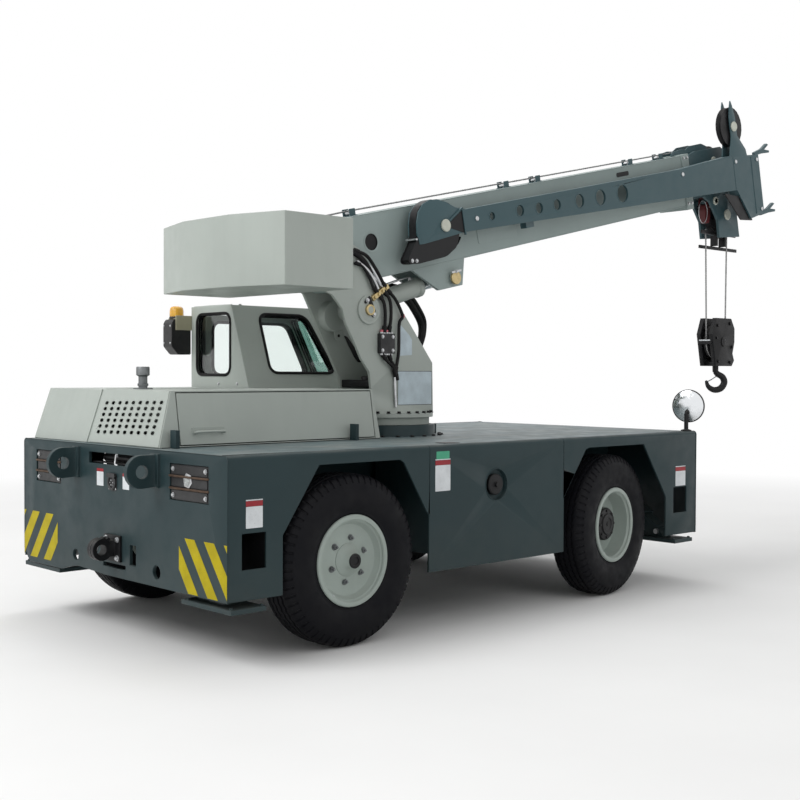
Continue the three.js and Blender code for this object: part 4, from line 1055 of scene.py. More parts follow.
        # The lid's rim takes the deck's slate lightened with painted light.
        piece("deck_lid_rim", rim, Coat.DECK, bevel=0.5)
        ring = [(1850 + 340 * math.cos(t), 340 * math.sin(t), DECK_TOP - 0.5) for t in full_turn(24)
                if not (340 * math.sin(t) > 300 or math.cos(t) > 0.985)]
        piece("pedestal_bolts", repeated(hex_bolt("z", 20, 11), ring), Coat.BLACK)

    def side_fittings(self) -> None:
        """The filler in the right panel's hole, the step under the door and the arches' liners."""
        x, z, r = self.filler
        cap = [[0, 0], [58, 0], [58, 20], [52, 26], [16, 28], [14, 40], [0, 40]]
        neck = spun(cap, "y", 40).mirrored().shifted((x, -950, z))
        piece("tank_cap", neck, Coat.BLACK, bevel=1.0)
        t = full_turn(60)
        ring = np.stack([x + (r + 1) * np.cos(t), np.full(60, -HALF_WIDTH),
                         z + (r + 1) * np.sin(t)], 1)
        piece("filler_rim", swept(ring, circle(2.2, 8), True, (0, 1, 0)), Coat.SLATE)
        step = [tube(smooth([(1400, 940, 330), (1400, 968, 322), (1640, 968, 322),
                             (1640, 940, 330)], 6), 13, 12),
                block((1395, 925, 325), (1407, 945, 402)),
                block((1633, 925, 325), (1645, 945, 402))]
        piece("cab_step", step, Coat.BLACK, bevel=1.0)
        liner = block((222, -960, 322), (226, -500, 958))
        piece("arch_liners", [liner, liner.mirrored()], Coat.BLACK)

    def weld_beads(self) -> None:
        """Beads where the tail's lugs are welded: rippled round bars."""
        beads = []
        for y in (385, -385):
            for dy in (-16, 16):
                path = np.stack([np.full(40, -14.0), np.full(40, y + dy),
                                 np.linspace(796, 946, 40)], 1)
                ripple = 1 + 0.18 * np.sin(np.linspace(0, 40, 40))
                beads.append(swept(path, circle(3.2, 8), grow=ripple, up=(0, 1, 0)))
        piece("lug_welds", beads, Coat.SLATE)


# ---------------------------------------------------------------- running gear
@dataclass
class Wheel:
    """One wheel: a bias-ply tyre with zigzag ribs and notched shoulders on a dished steel rim."""

    end: str
    side: str
    outer_radius: float = 426.0
    half_width: float = 118.0
    rim_radius: float = 228.0
    pitches: int = 60
    zigzag: float = 4.0
    groove: float = 10.0
    notch: float = 9.0
    nuts: int = 6
    nut_circle: float = 108.0

    def place(self) -> Place:
        """The wheel's axes: +Y along its axle towards its outer face on the left side."""
        joint = JOINTS[f"{self.end}_{self.side}_spin"]
        axis = joint["axis"]
        return Place(tuple(joint["pos_m"]), 0.0, math.atan2(-axis[0], axis[1]))

    def build(self) -> None:
        """Makes the tyre, the rim and what is bolted to them."""
        body = f"{self.end}_{self.side}_wheel"
        name = f"{self.end}_{self.side}"
        place = self.place()
        piece(name + "_tread", self.tyre(), Coat.TYRE, body, place=place, replaces=[name + "_tyre"],
              angle=40.0)
        piece(name + "_wheel_disc", self.sided(self.rim()), Coat.RIM, body, place=place,
              replaces=[name + "_rim"], angle=34.0)
        nuts = Coat.DULL if self.end == "rear" else Coat.RIM
        piece(name + "_wheel_nuts", self.sided(self.bolting()), nuts, body, place=place)
        piece(name + "_hub", self.sided(self.hub()), Coat.BLACK, body, place=place, angle=34.0)
        piece(name + "_valve", self.sided(self.valve()), Coat.STEEL, body, place=place)

    def sided(self, shape: Shape) -> Shape:
        """A shape made for a left wheel, reflected when this one is on the right."""
        return shape if self.side == "left" else shape.mirrored()

    def tyre(self) -> Shape:
        """The tyre as a surface of angle t and row s: each row is a ring of radius r(s) at y(s), y
        swings by a triangle wave of t in the tread, and rows flagged as groove floors, or shoulder
        rows inside a notch, are sunk by the groove's depth along the section's normal."""
        hw, ro = self.half_width, self.outer_radius
        crown = [(0, ro), (14, ro - 0.2), (40, ro - 0.8), (66, ro - 3.0)]
        edge = [(84, ro - 9), (92, ro - 15), (98, ro - 25), (103, ro - 38)]
        wall = [(108, ro - 46), (112, ro - 66), (hw - 3, 342), (hw - 1.0, 318), (hw - 1.2, 300),
                (hw - 3.0, 284), (112, 266), (106, 250), (102, 240), (103, 236), (100, 231),
                (97, self.rim_radius), (92, 214)]
        y_half = [0, 12, 15, 21, 24, 44, 47, 55, 58, 72]
        sunk_half = [0, 0, 1, 1, 0, 0, 1, 1, 0, 0]
        crown_y, crown_r = np.array(crown).T
        tread = [(y, float(np.interp(y, crown_y, crown_r)), s, 0.0, 1.0) for y,
                 s in zip(y_half, sunk_half)]
        shoulder = [(y, r, 0.0, 1.0, 0.35) for y, r in edge]
        side_rows = [(y, r, 0.0, 0.0, 0.0) for y, r in wall]
        rows = np.array(tread + shoulder + side_rows)
        rows = np.concatenate([rows[:0:-1] * np.array([-1, 1, 1, 1, 1]), rows])
        y, r, sunk, notched, swing = rows.T
        share = np.array([0.0, 0.04, 0.10, 0.30, 0.36, 0.55, 0.75, 0.9])
        t = (np.arange(self.pitches)[:, None] + share[None, :]).reshape(-1)
        phase = t % 1.0
        zig = self.zigzag * (4 * np.abs(phase - 0.5) - 1)
        in_notch = np.interp(phase, [0.0, 0.04, 0.10, 0.30, 0.36, 1.0], [0, 0.0, 1, 1, 0.0, 0])
        depth = sunk[:, None] * self.groove + notched[:, None] * in_notch[None, :] * self.notch
        spread = y[:, None] + swing[:, None] * zig[None, :] * (np.abs(y[:, None]) < 71)
        angle = t * 2 * math.pi / self.pitches
        radius = r[:, None] - depth
        points = np.stack([radius * np.cos(angle), spread + 0 * radius, radius * np.sin(angle)], -1)
        n, m = points.shape[:2]
        return Shape(points.reshape(-1, 3), grid(n, m, True, True))

    def rim(self) -> Shape:
        """The rim's section spun about the axle: a rolled edge, a drop well and a dished disc."""
        rolled = [[202, 96], [199, 102], [203, 108], [214, 110], [224, 107], [227, 101], [225, 96],
                  [214, 95]]
        well = [[211, 70], [196, 40], [196, -40], [211, -70], [214, -95], [225, -96], [227, -103],
                [214, -108], [202, -104], [200, -88], [196, -74], [188, -40]]
        if self.end == "rear":
            dish = [[188, 30], [178, 40], [120, 44], [60, 40], [0, 38], [0, 66], [60, 66], [92, 66],
                    [100, 62], [128, 58], [160, 57], [176, 62], [186, 76], [192, 90]]
        else:
            dish = [[188, -34], [178, -30], [110, -28], [0, -28], [0, -10], [96, -10], [130, -8],
                    [168, -9], [182, -2], [190, 22], [192, 60], [193, 84]]
        return spun(rolled + well + dish + [[202, 96]], "y", 96)

    def bolting(self) -> Shape:
        """Studs and nuts on their circle."""
        face = 58 if self.end == "rear" else -9
        t = full_turn(self.nuts) + 0.35
        radius = self.nut_circle + (0 if self.end == "rear" else 30)
        spots = [(radius * math.cos(a), face, radius * math.sin(a)) for a in t]
        stud = spun([[0, 0], [6, 0], [6, 26], [4.5, 28], [0, 28]], "y", 12)
        seat = spun([[0, 0], [17, 0], [15, 5], [0, 5]], "y", 24)
        return repeated(joined([hex_bolt("y", 22, 17), stud, seat]), spots)

    def hub(self) -> Shape:
        """The hub: a cone with a recessed cap at the rear, a bolted drum at the front."""
        if self.end == "rear":
            cone = [[0, 60], [84, 60], [82, 70], [62, 84], [44, 100], [40, 112], [36, 116],
                    [31, 116], [31, 107], [20, 106], [18, 111], [0, 112]]
            return spun(cone, "y", 64)
        drum = [[0, -12], [96, -12], [100, -8], [100, 40], [94, 48], [66, 52], [62, 60], [40, 62],
                [36, 58], [14, 57], [12, 61], [0, 61]]
        t = full_turn(8)
        bolts = repeated(hex_bolt("y", 16, 10),
                         [(80 * math.cos(a), 46, 80 * math.sin(a)) for a in t])
        return joined([spun(drum, "y", 64), bolts])

    def valve(self) -> Shape:
        """The valve stem, bent out through the disc."""
        stem = smooth([(-120, 60, -148), (-122, 74, -150), (-124, 88, -156), (-125, 98, -160)], 6)
        return joined([tube(stem, 4.0, 10, up=(1, 0, 0)),
                       spun([[0, 0], [5.5, 0], [5.5, 9], [0, 10]], "y", 12, (-125, 97, -160))])


@dataclass
class RearHubPaint:
    """The rear hubs' cones are painted with the discs and only their caps are dark."""

    def build(self) -> None:
        """Repaints the rear hub cones and adds the dark caps."""
        for side in ("right", "left"):
            hub = bpy.data.objects[f"rear_{side}_hub"]
            hub.data.materials[0] = Coat.RIM.value.material()
            wheel = Wheel("rear", side)
            cap = spun([[0, 108], [37, 108], [37, 120], [33, 123], [22, 123], [20, 118], [0, 119]],
                       "y", 40)
            piece(f"rear_{side}_hub_cap", wheel.sided(cap), Coat.BLACK, f"rear_{side}_wheel",
                  place=wheel.place())


@dataclass
class RunningGear:
    """Wheels, axles, knuckles, tie rods, brake pipes and the drive line."""

    axles: tuple[tuple[str, float], ...] = (("rear", 755.0), ("front", 2835.0))
    axle_height: float = 426.0

    def build(self) -> None:
        """Makes the four wheels and dresses what carries them."""
        for end, _ in self.axles:
            for side in ("right", "left"):
                Wheel(end, side).build()
                softened(f"{end}_{side}_knuckle", Coat.CAST, 1.5)
            softened(f"{end}_axle", Coat.BLACK, 3.0)
            softened(f"{end}_tie_rod", Coat.BLACK, 1.0)
        RearHubPaint().build()
        self.axle_fittings()
        self.drive_line()

    def axle_fittings(self) -> None:
        """Cover bolts on the axle bowls, clamp bolts at the frame seats and brake pipes."""
        bolts, pipes = [], []
        for end, x in self.axles:
            face = x + (110 if end == "front" else 76)
            radius = 112 if end == "front" else 84
            t = full_turn(10) + 0.2
            spots = [(face - 1, radius * math.cos(a), self.axle_height + radius * math.sin(a))
                     for a in t]
            bolts.append(repeated(hex_bolt("x", 16, 9), spots))
            for side in (-1, 1):
                spots = [(x + dx, side * y, 489) for dx in (-52, 52) for y in (388, 440)]
                bolts.append(repeated(hex_bolt("z", 18, 16, -1).shifted((0, 0, -11)), spots))
                path = smooth([(x - 62, side * 120, 478), (x - 66, side * 300, 492),
                               (x - 66, side * 480, 492), (x - 62, side * 600, 480),
                               (x - 50, side * 660, 505)], 8)
                pipes.append(tube(path, 5, 8, up=(1, 0, 0)))
        piece("axle_bolts", bolts, Coat.STEEL)
        piece("brake_pipes", pipes, Coat.STEEL)

    def drive_line(self) -> None:
        """Two drive shafts from the gearbox under the pedestal to the axle bowls, with yokes."""
        z = self.axle_height
        shafts = []
        for x0, x1 in ((900.0, 1660.0), (2040.0, 2690.0)):
            low = z if x0 < 1000 else z + 90
            high = z + 90 if x0 < 1000 else z
            path = np.array([(x0, 0, low), (x1, 0, high)])
            shafts.append(tube(path, 34, 24))
            for x, h in ((x0, low), (x1, high)):
                shafts.append(spun([[0, -42], [58, -42], [58, -30], [34, -26], [34, 26], [58, 30],
                                    [58, 42], [0, 42]], "x", 24, (x, 0, h)))
        case = slab(oblong(1700, 415, 2000, 640, 40), "y", -120, 120)
        flange = spun(rod(150, 0, 14), "z", 40, (1850, 0, 640))
        flanges = ((1655, 0, z + 90), (1995, 0, z + 90), (830, 0, z))
        shafts += [spun(rod(60, 0, 50), "x", 24, at) for at in flanges]
        piece("drive_shafts", shafts, Coat.BLACK)
        piece("drop_box", [case, flange], Coat.CAST, bevel=3.0)


@dataclass
class Outriggers:
    """The four sloping legs on their float plates, with pins, gussets and bolts."""

    ends: tuple[tuple[str, float], ...] = (("rear", 110.0), ("front", 3560.0))
    float_top: float = 280.0

    def build(self) -> None:
        """Dresses the legs and adds the pin and the bolts of each float."""
        for end, x in self.ends:
            for side, sign in (("right", -1), ("left", 1)):
                softened(f"{end}_{side}_outrigger", Coat.SLATE, 2.0)
                y = sign * 800
                pin = [spun(rod(17, -58, 58), "x", 24, (x, sign * 812, 316)),
                       spun(rod(24, 46, 54), "x", 6, (x, sign * 812, 316))]
                gusset = [slab(np.array([[sign * 640, 281], [sign * 735, 281],
                                         [sign * 735, 330]])[::sign], "x", x + d, x + d + 10)
                          for d in (-40, 30)]
                corners = [(x + dx, y + dy, self.float_top - 1) for dx in (-84, 84)
                           for dy in (-170, 170)]
                piece(f"{end}_{side}_float_pin", pin, Coat.STEEL, f"{end}_{side}_stand", 0.8)
                piece(f"{end}_{side}_float_gussets",
                      gusset + [repeated(hex_bolt("z", 16, 9), corners)], Coat.SLATE,
                      f"{end}_{side}_stand")


# ---------------------------------------------------------------- hood
@dataclass
class Hood:
    """The engine hood with its pierced grille, hinged side cover, handle, seams and stack."""

    rows: int = 6
    columns: int = 9

    def build(self) -> None:
        """Dresses the sheet metal and adds the fittings."""
        softened("engine_hood", Coat.GREY, 3.0)
        softened("hood_side_cover", Coat.GREY, 2.5)
        softened("grille_panel", Coat.GREY, 0.6)
        softened("engine_block", Coat.CAST, 6.0)
        self.grille()
        self.handle()
        self.stack()
        self.fittings()
        self.engine_dress()

    @staticmethod
    def rear_slope(z: Array) -> Array:
        """How far forward the hood's sloping rear face is at a height."""
        return 55 + (z - 971) * 95 / 279

    def grille(self) -> None:
        """A rolled collar round every hole: a ring whose section is a small half-round."""
        t = full_turn(24)
        rings = []
        for row in range(self.rows):
            for column in range(self.columns):
                y = -240 + column * 65
                z = 1192 - row * 30 - column * 1.6
                zs = z + 10.4 * np.sign(np.sin(t)) * np.abs(np.sin(t)) ** 0.75
                ring = np.stack([self.rear_slope(zs) - 4.3,
                                 y + 17.4 * np.sign(np.cos(t)) * np.abs(np.cos(t)) ** 0.75, zs], 1)
                rings.append(swept(ring, circle(1.7, 6), True, (1, 0, 0)))
        piece("grille_collars", rings, Coat.GREY)
        core = block((205, -270, 985), (235, 190, 1205))
        fins = [block((201, y, 985), (206, y + 2.5, 1205)) for y in np.arange(-268, 188, 9.0)]
        piece("cooler_core", [core] + fins, Coat.BLACK)

    def handle(self) -> None:
        """The D-handle on the side cover."""
        y = -321
        loop = smooth([(268, y + 8, 1040), (266, y - 16, 1042), (276, y - 26, 1046),
                       (420, y - 26, 1046), (432, y - 16, 1042), (430, y + 8, 1040)], 6)
        plate = slab(oblong(252, 1026, 446, 1068, 8), "y", y + 2, y + 8)
        piece("cover_handle", [tube(loop, 6.5, 12), plate], Coat.GREY, "hood_cover", 0.8)

    def stack(self) -> None:
        """The exhaust's pipe and rain cap, spun, with a clamp."""
        outer = [[19, 1250.5], [24, 1250.5], [24, 1318], [30, 1322], [36, 1326], [36, 1366],
                 [33, 1371], [28, 1371], [27, 1330], [19, 1318], [19, 1250.5]]
        clamp = [[24, 1266], [29, 1268], [29, 1280], [24, 1282], [23, 1274], [24, 1266]]
        flange = [[19.5, 1250.4], [52, 1250.4], [52, 1256], [19.5, 1256], [19.5, 1250.4]]
        ears = block((320, 296, 1268), (332, 304, 1280))
        piece("exhaust_pipe",
              [spun(p, "z", 40, (350, 300, 0)) for p in (outer, clamp, flange)] + [ears], Coat.DULL,
              replaces=["exhaust_stack"])
        lid = spun([[0, 1366], [30, 1366], [31, 1370], [0, 1371.5]], "z", 32, (350, 300, 0))
        piece("exhaust_flap", lid, Coat.DULL)

    def fittings(self) -> None:
        """Seam strips between the hood's halves and a rubber foot."""
        z = np.array([973.0, 1100.0, 1249.6])
        edge = np.stack([self.rear_slope(z) - 1.5, 0 * z + 372, z], 1)
        seam = [block((152, 342, 1249.4), (1078, 348, 1252)),
                block((1078, 222, 1249.4), (1086, 228, 1252)),
                swept(edge, np.array([[-4.5, -4], [4.5, -4], [4.5, 4], [-4.5, 4]]), up=(0, 1, 0))]
        piece("hood_seams", seam, Coat.GREY, bevel=0.6)
        seal = [block((70, -334, 962 + 9), (1505, -328, 974))]
        piece("hood_foot_seal", seal, Coat.SEAL, bevel=0.5)

    def engine_dress(self) -> None:
        """Rocker cover, manifold and fan on the plain engine block."""
        cover = slab(oblong(470, -110, 1090, 70, 40), "z", 1150, 1196)
        ribs = [block((x, -100, 1190), (x + 8, 60, 1202)) for x in np.arange(500, 1080, 60)]
        piece("rocker_cover", [cover] + ribs, Coat.CAST, bevel=4.0)
        t = full_turn(6)
        blade = slab(rounded([[-28, 40], [28, 40], [44, 190], [-44, 190]], 12), "x", -3,
                     3).turned("z", 24)
        fan = [blade.turned("x", math.degrees(a)).shifted((330, -20, 1010)) for a in t]
        hub = spun(rod(52, -40, 60), "x", 32, (330, -20, 1010))
        piece("cooling_fan", fan + [hub], Coat.BLACK)
        log_pipe = smooth([(500, 205, 1080), (600, 232, 1085), (900, 232, 1085), (1080, 215, 1120)],
                          10)
        piece("exhaust_manifold", tube(log_pipe, 26, 20), Coat.RUST)


# ---------------------------------------------------------------- cab
@dataclass(frozen=True)
class Wall:
    """A flat wall of the cab: a point on it, the way its outlines' first number runs, its outward
    normal and the corners of its window, in millimetres."""

    at: Point
    along: Point
    out: Point
    corners: tuple[tuple[float, float], ...]

    def axes(self) -> tuple[Array, Array, Array]:
        """Unit vectors along, up and out."""
        out = np.array(self.out, float)
        out /= np.linalg.norm(out)
        along = np.array(self.along, float)
        along /= np.linalg.norm(along)
        return along, np.cross(out, along), out

    def point(self, uv: Array, depth: float) -> Array:
        """Points of an outline at a distance in front of the wall."""
        along, up, out = self.axes()
        uv = np.asarray(uv, float)
        return np.array(self.at, float) + uv[:, :1] * along + uv[:, 1:] * up + depth * out


@dataclass
class Cab:
    """The one-man cab: shell, door, glazing with its seals, seat, dash, wheel and roof fittings."""

    rear: float = 1100.0
    left: float = 966.0
    waist: float = 1150.0
    roof: float = 1745.0
    seal_width: float = 17.0

    def walls(self) -> dict[str, Wall]:
        """The four glazed walls."""
        return {
            "rear": Wall((self.rear, 0, 0), (0, -1, 0), (-1, 0, 0),
                         ((-902, 1326), (-550, 1326), (-550, 1696), (-902, 1696))),
            "right": Wall((self.rear, 331, self.waist), (1, 0, 0), (0, -595, 209),
                          ((185, 200), (692, 200), (548, 578), (185, 578))),
            "front": Wall((1920, 331, self.waist), (270, 635, 0), (0.83, -0.353, 0.432),
                          ((70, 60), (630, 60), (535, 605), (150, 605))),
            "door": Wall((0, self.left, 0), (-1, 0, 0), (0, 1, 0),
                         ((-2005, 1326), (-1240, 1326), (-1240, 1656), (-1835, 1656))),
        }

    def build(self) -> None:
        """Dresses the cab from its shell inwards."""
        softened("cab_shell", Coat.GREY, 4.0)
        softened("cab_door", Coat.GREY, 3.0)
        for node in ("cab_rear_glass", "cab_right_glass", "door_glass"):
            kept(node, Coat.GLASS)
        kept("cab_front_glass", Coat.SCREEN)
        self.seals()
        self.rear_wall()
        self.seat()
        self.controls()
        self.beacon()
        self.door_fittings()

    def seals(self) -> None:
        """A rubber section swept round every window on its wall, outside and inside."""
        for name, wall in self.walls().items():
            line = rounded(wall.corners, 62, 8)
            out = wall.axes()[2]
            w = self.seal_width / 2
            section = np.array([[-4.5, -w], [2.0, -w], [4.5, -w * 0.6], [4.5, w * 0.6], [2.0, w],
                                [-4.5, w]])
            outer = swept(wall.point(line, 2.0), section[:, ::-1], True, out)
            inner = swept(wall.point(line, -36.0), section[:, ::-1], True, out)
            body = "door" if name == "door" else "carrier"
            rim = [self.ring(wall, line, -24.0, -10.0, 9.0)]
            piece(f"{name}_window_seal", [outer, inner] + rim, Coat.SEAL, body, angle=40.0)

    def ring(self, wall: Wall, line: Array, low: float, high: float, inward: float) -> Shape:
        """A flat band that lines the hole between two depths and grips the glass."""
        centre = line.mean(0)
        inner = line + (centre - line) / np.linalg.norm(centre - line, axis=1,
                                                        keepdims=True) * inward
        rows = [wall.point(line, low), wall.point(line, high), wall.point(inner, high),
                wall.point(inner, low)]
        n = len(line)
        return Shape(np.concatenate(rows), grid(4, n, True, True))

    def rear_wall(self) -> None:
        """Small bolts on the rear wall and a gutter round the roof."""
        x = self.rear
        spots = [(x + 0.5, y, 1274) for y in (672, 483)] + [(x + 0.5, y, 1030) for y in (400, 930)]
        piece("rear_wall_bolts", repeated(hex_bolt("x", 13, 6, -1), spots), Coat.STEEL)
        roof_line = [(x + 30, 560, self.roof), (x + 30, 940, self.roof), (1840, 940, self.roof)]
        gutter = tube(smooth([(x + 14, 556, self.roof - 1), (x + 10, 760, self.roof),
                              (x + 12, 945, self.roof - 1)], 6), 5, 8)
        side = tube(np.array([(x + 16, 958, self.roof - 2), (1860, 958, self.roof - 2)]), 5, 8)
        piece("roof_gutters", [gutter, side], Coat.GREY)
        bosses = [hex_bolt("z", 16, 7).shifted((px + 40, py - 10, pz - 0.5)) for px, py,
                  pz in roof_line]
        piece("roof_bolts", bosses, Coat.GREY)

    def seat(self) -> None:
        """The pedestal with its bellows, and the two cushions blown up as cloth."""
        stand = [slab(oblong(1452, 600, 1708, 840, 30), "z", 418.4, 470),
                 slab(oblong(1490, 640, 1670, 800, 30), "z", 468, 618),
                 slab(oblong(1430, 560, 1760, 880, 30), "z", 616, 652)]
        bellows = 1 + 0.06 * np.sin(np.linspace(0, 10 * math.pi, 41))
        rings = swept(np.stack([np.full(41, 1580.0), np.full(41, 720.0), np.linspace(470, 616, 41)],
                               1), oblong(-105, -125, 105, 125, 40), up=(1, 0, 0), grow=bellows)
        piece("seat_stand", stand + [rings], Coat.PLASTIC, bevel=3.0, replaces=["cab_seat"])
        self.cushion("seat_cushion", (1612, 720, 706), (192, 182, 50), 0.0)
        self.cushion("seat_back", (1432, 720, 1050), (46, 172, 272), 0.19)

    def cushion(self, name: str, centre: Point, half: Point, lean: float) -> None:
        """A cushion: a rounded box whose sines and cosines are raised to a power that squares it
        up, stretched to its half sizes and blown up as cloth, with its swelling capped.

        Args:
            name: its name.
            centre: its middle in millimetres.
            half: its half sizes in millimetres.
            lean: how far it leans back, in radians.
        """
        place = Place(tuple(CARRIER.to_frame(np.array([centre]))[0]), 0.0, 0.0)
        u = np.linspace(-math.pi / 2, math.pi / 2, 33)
        v = full_turn(64)
        cu, su, cv, sv = (np.sign(c) * np.abs(c) ** 0.36
                          for c in (np.cos(u), np.sin(u), np.cos(v), np.sin(v)))
        points = np.stack([np.outer(cu, cv), np.outer(cu, sv), np.repeat(su[:, None], 64, 1)],
                          -1).reshape(-1, 3)
        points = points * np.array(half)
        points[:, 0] -= points[:, 2] * math.tan(lean)
        shape = Shape(points, grid(33, 64, False, True))
        obj = piece(name, shape, Coat.VINYL, place=place, angle=60.0)
        self.blow(obj)

    @staticmethod
    def blow(obj: bpy.types.Object) -> None:
        """Fills a cushion with air for twenty frames and keeps what shape it takes, with no point
        moved by more than 12 mm, and one subdivision.

        Args:
            obj: the cushion, whose mesh is changed.
        """
        shape = obj.modifiers.new("remesh", "REMESH")
        shape.mode, shape.voxel_size = "VOXEL", 0.006
        scene = bpy.context.scene
        graph = bpy.context.evaluated_depsgraph_get()
        base = bpy.data.meshes.new_from_object(obj.evaluated_get(graph))
        obj.modifiers.clear()
        coat = obj.data.materials[0]
        obj.data = base
        base.materials.clear()
        base.materials.append(coat)
        start = np.empty(len(base.vertices) * 3, np.float32)
        base.vertices.foreach_get("co", start)
        cloth = obj.modifiers.new("cloth", "CLOTH")
        cloth.settings.use_pressure = True
        cloth.settings.uniform_pressure_force = 4.0
        cloth.settings.effector_weights.gravity = 0.0
        for step in range(1, 21):
            scene.frame_set(step)
        graph = bpy.context.evaluated_depsgraph_get()
        blown = bpy.data.meshes.new_from_object(obj.evaluated_get(graph))
        end = np.empty_like(start)
        blown.vertices.foreach_get("co", end)
        obj.modifiers.clear()
        scene.frame_set(1)
        move = (end - start).reshape(-1, 3)
        far = np.linalg.norm(move, axis=1, keepdims=True)
        move *= np.minimum(1.0, 0.012 / np.maximum(far, 1e-9))
        base.vertices.foreach_set("co", (start + move.reshape(-1)).astype(np.float32))
        base.update()
        base.shade_smooth()
        finer = obj.modifiers.new("subdivision", "SUBSURF")
        finer.levels = finer.render_levels = 1

    def controls(self) -> None:
        """Dash, steering wheel with its column, and levers with knobs."""
        dash = [slab(rounded([[1888, 470], [1960, 470], [1940, 1150], [1884, 1150]], 16), "y", 540,
                     880), slab(rounded([[1760, 1085], [1935, 1110], [1935, 1160], [1850, 1170],
                                         [1764, 1108]], 10), "y", 560, 860)]
        piece("dash", dash, Coat.PLASTIC, bevel=4.0, replaces=["cab_console"])
        hub = np.array([1795.0, 720.0, 1182.0])
        tilt = math.radians(39)
        t = full_turn(72)
        flat = np.stack([172 * np.cos(t), 172 * np.sin(t), 0 * t], 1)
        lean = np.stack([flat[:, 0] * math.cos(tilt), flat[:, 1], flat[:, 0] * math.sin(tilt)], 1)
        rim = swept(lean + hub, circle(12, 14), True, (-math.sin(tilt), 0, math.cos(tilt)))
        spokes = []
        for a in (math.pi / 2, math.pi * 7 / 6, math.pi * 11 / 6):
            d = np.array([math.cos(a) * math.cos(tilt), math.sin(a), math.cos(a) * math.sin(tilt)])
            spokes.append(swept(np.array([hub + d * 20, hub + d * 168]), circle(9, 10),
                                up=(-math.sin(tilt), 0.02, math.cos(tilt))))
        normal = np.array([-math.sin(tilt), 0, math.cos(tilt)])
        boss = swept(np.array([hub - normal * 30, hub - normal * 4, hub + normal * 14]),
                     circle(40, 28), up=(0, 1, 0), grow=np.array([0.8, 1.0, 0.8]))
        column = swept(np.array([hub - normal * 24, hub - normal * 120]), circle(24, 20),
                       up=(0, 1, 0))
        piece("steering_wheel", [rim, boss, column] + spokes, Coat.PLASTIC, angle=40.0)
        levers = []
        for k in range(4):
            foot = np.array([1850, 575 + k * 44.0, 1150])
            path = smooth([foot, foot + (-20, 0, 60), foot + (-38, 0, 110)], 5)
            levers.append(tube(path, 4.5, 8, up=(0, 1, 0)))
            levers.append(spun([[0, -20], [10, -17], [15, 0], [11, 15], [0, 19]], "z", 16,
                               foot + (-40, 0, 122)))
        piece("control_levers", levers, Coat.PLASTIC)

    def beacon(self) -> None:
        """Bracket, eight-sided black box and amber dome at the cab's rear left corner."""
        bracket = [block((985, 958, 1600), (1099.6, 966, 1690)),
                   slab(oblong(992, 966, 1090, 1060, 6), "z", 1668, 1674)]
        piece("beacon_bracket", bracket, Coat.KHAKI, bevel=1.5, replaces=["beacon_unit"])
        outline = rounded([[958, 1500], [958, 1640], [975, 1667], [1075, 1667], [1098, 1640],
                           [1098, 1450], [1005, 1450]], 10)
        lid = rounded([[968, 1508], [968, 1632], [982, 1656], [1068, 1656], [1088, 1634],
                       [1088, 1462], [1010, 1462]], 10)
        ring = [hex_bolt("x", 9, 4, -1).shifted((958.5, y, z)) for y in (982, 1054)
                for z in (1520, 1626)]
        piece("beacon_box", [slab(outline, "y", 966.4, 1062), slab(lid, "y", 1062, 1068)],
              Coat.PLASTIC, bevel=2.5)
        piece("beacon_box_screws", ring, Coat.STEEL)
        flute = 44 * (1 + 0.018 * np.abs(np.cos(np.linspace(0, 18 * math.pi, 144, endpoint=False))))
        angle = full_turn(144)
        section = np.stack([flute * np.cos(angle), flute * np.sin(angle)], 1) * 0.98
        heights = np.array([1684, 1690, 1700, 1725, 1738, 1746, 1750.5])
        width = np.array([0.97, 1.0, 1.0, 0.97, 0.9, 0.7, 0.3])
        dome = swept(np.stack([np.full(7, 1028.0), np.full(7, 1019.0), heights], 1), section,
                     up=(1, 0, 0), grow=width)
        piece("beacon_dome", dome, Coat.AMBER, angle=50.0)
        base = spun([[0, 1673], [46, 1673], [46, 1681], [43, 1685], [0, 1685]], "z", 48,
                    (1028, 1019, 0))
        piece("beacon_base", base, Coat.PLASTIC, bevel=1.0)

    def door_fittings(self) -> None:
        """Hinges and the lock's plate and handle."""
        y = self.left
        hinges = []
        for z in (1050, 1560):
            hinges.append(spun(rod(9, -45, 45), "z", 16, (1186, y + 2, z)))
            hinges.append(block((1192, y - 0.5, z - 32), (1228, y + 5, z + 32)))
        piece("door_hinges", hinges, Coat.BLACK, "door", 1.0)
        lock = [slab(oblong(1860, 1196, 1990, 1246, 16), "y", y - 0.5, y + 4),
                tube(smooth([(1880, y + 2, 1221), (1884, y + 9, 1221), (1966, y + 9, 1221),
                             (1970, y + 2, 1221)], 5), 4.5, 10)]
        piece("door_lock", lock, Coat.BLACK, "door", 0.8)


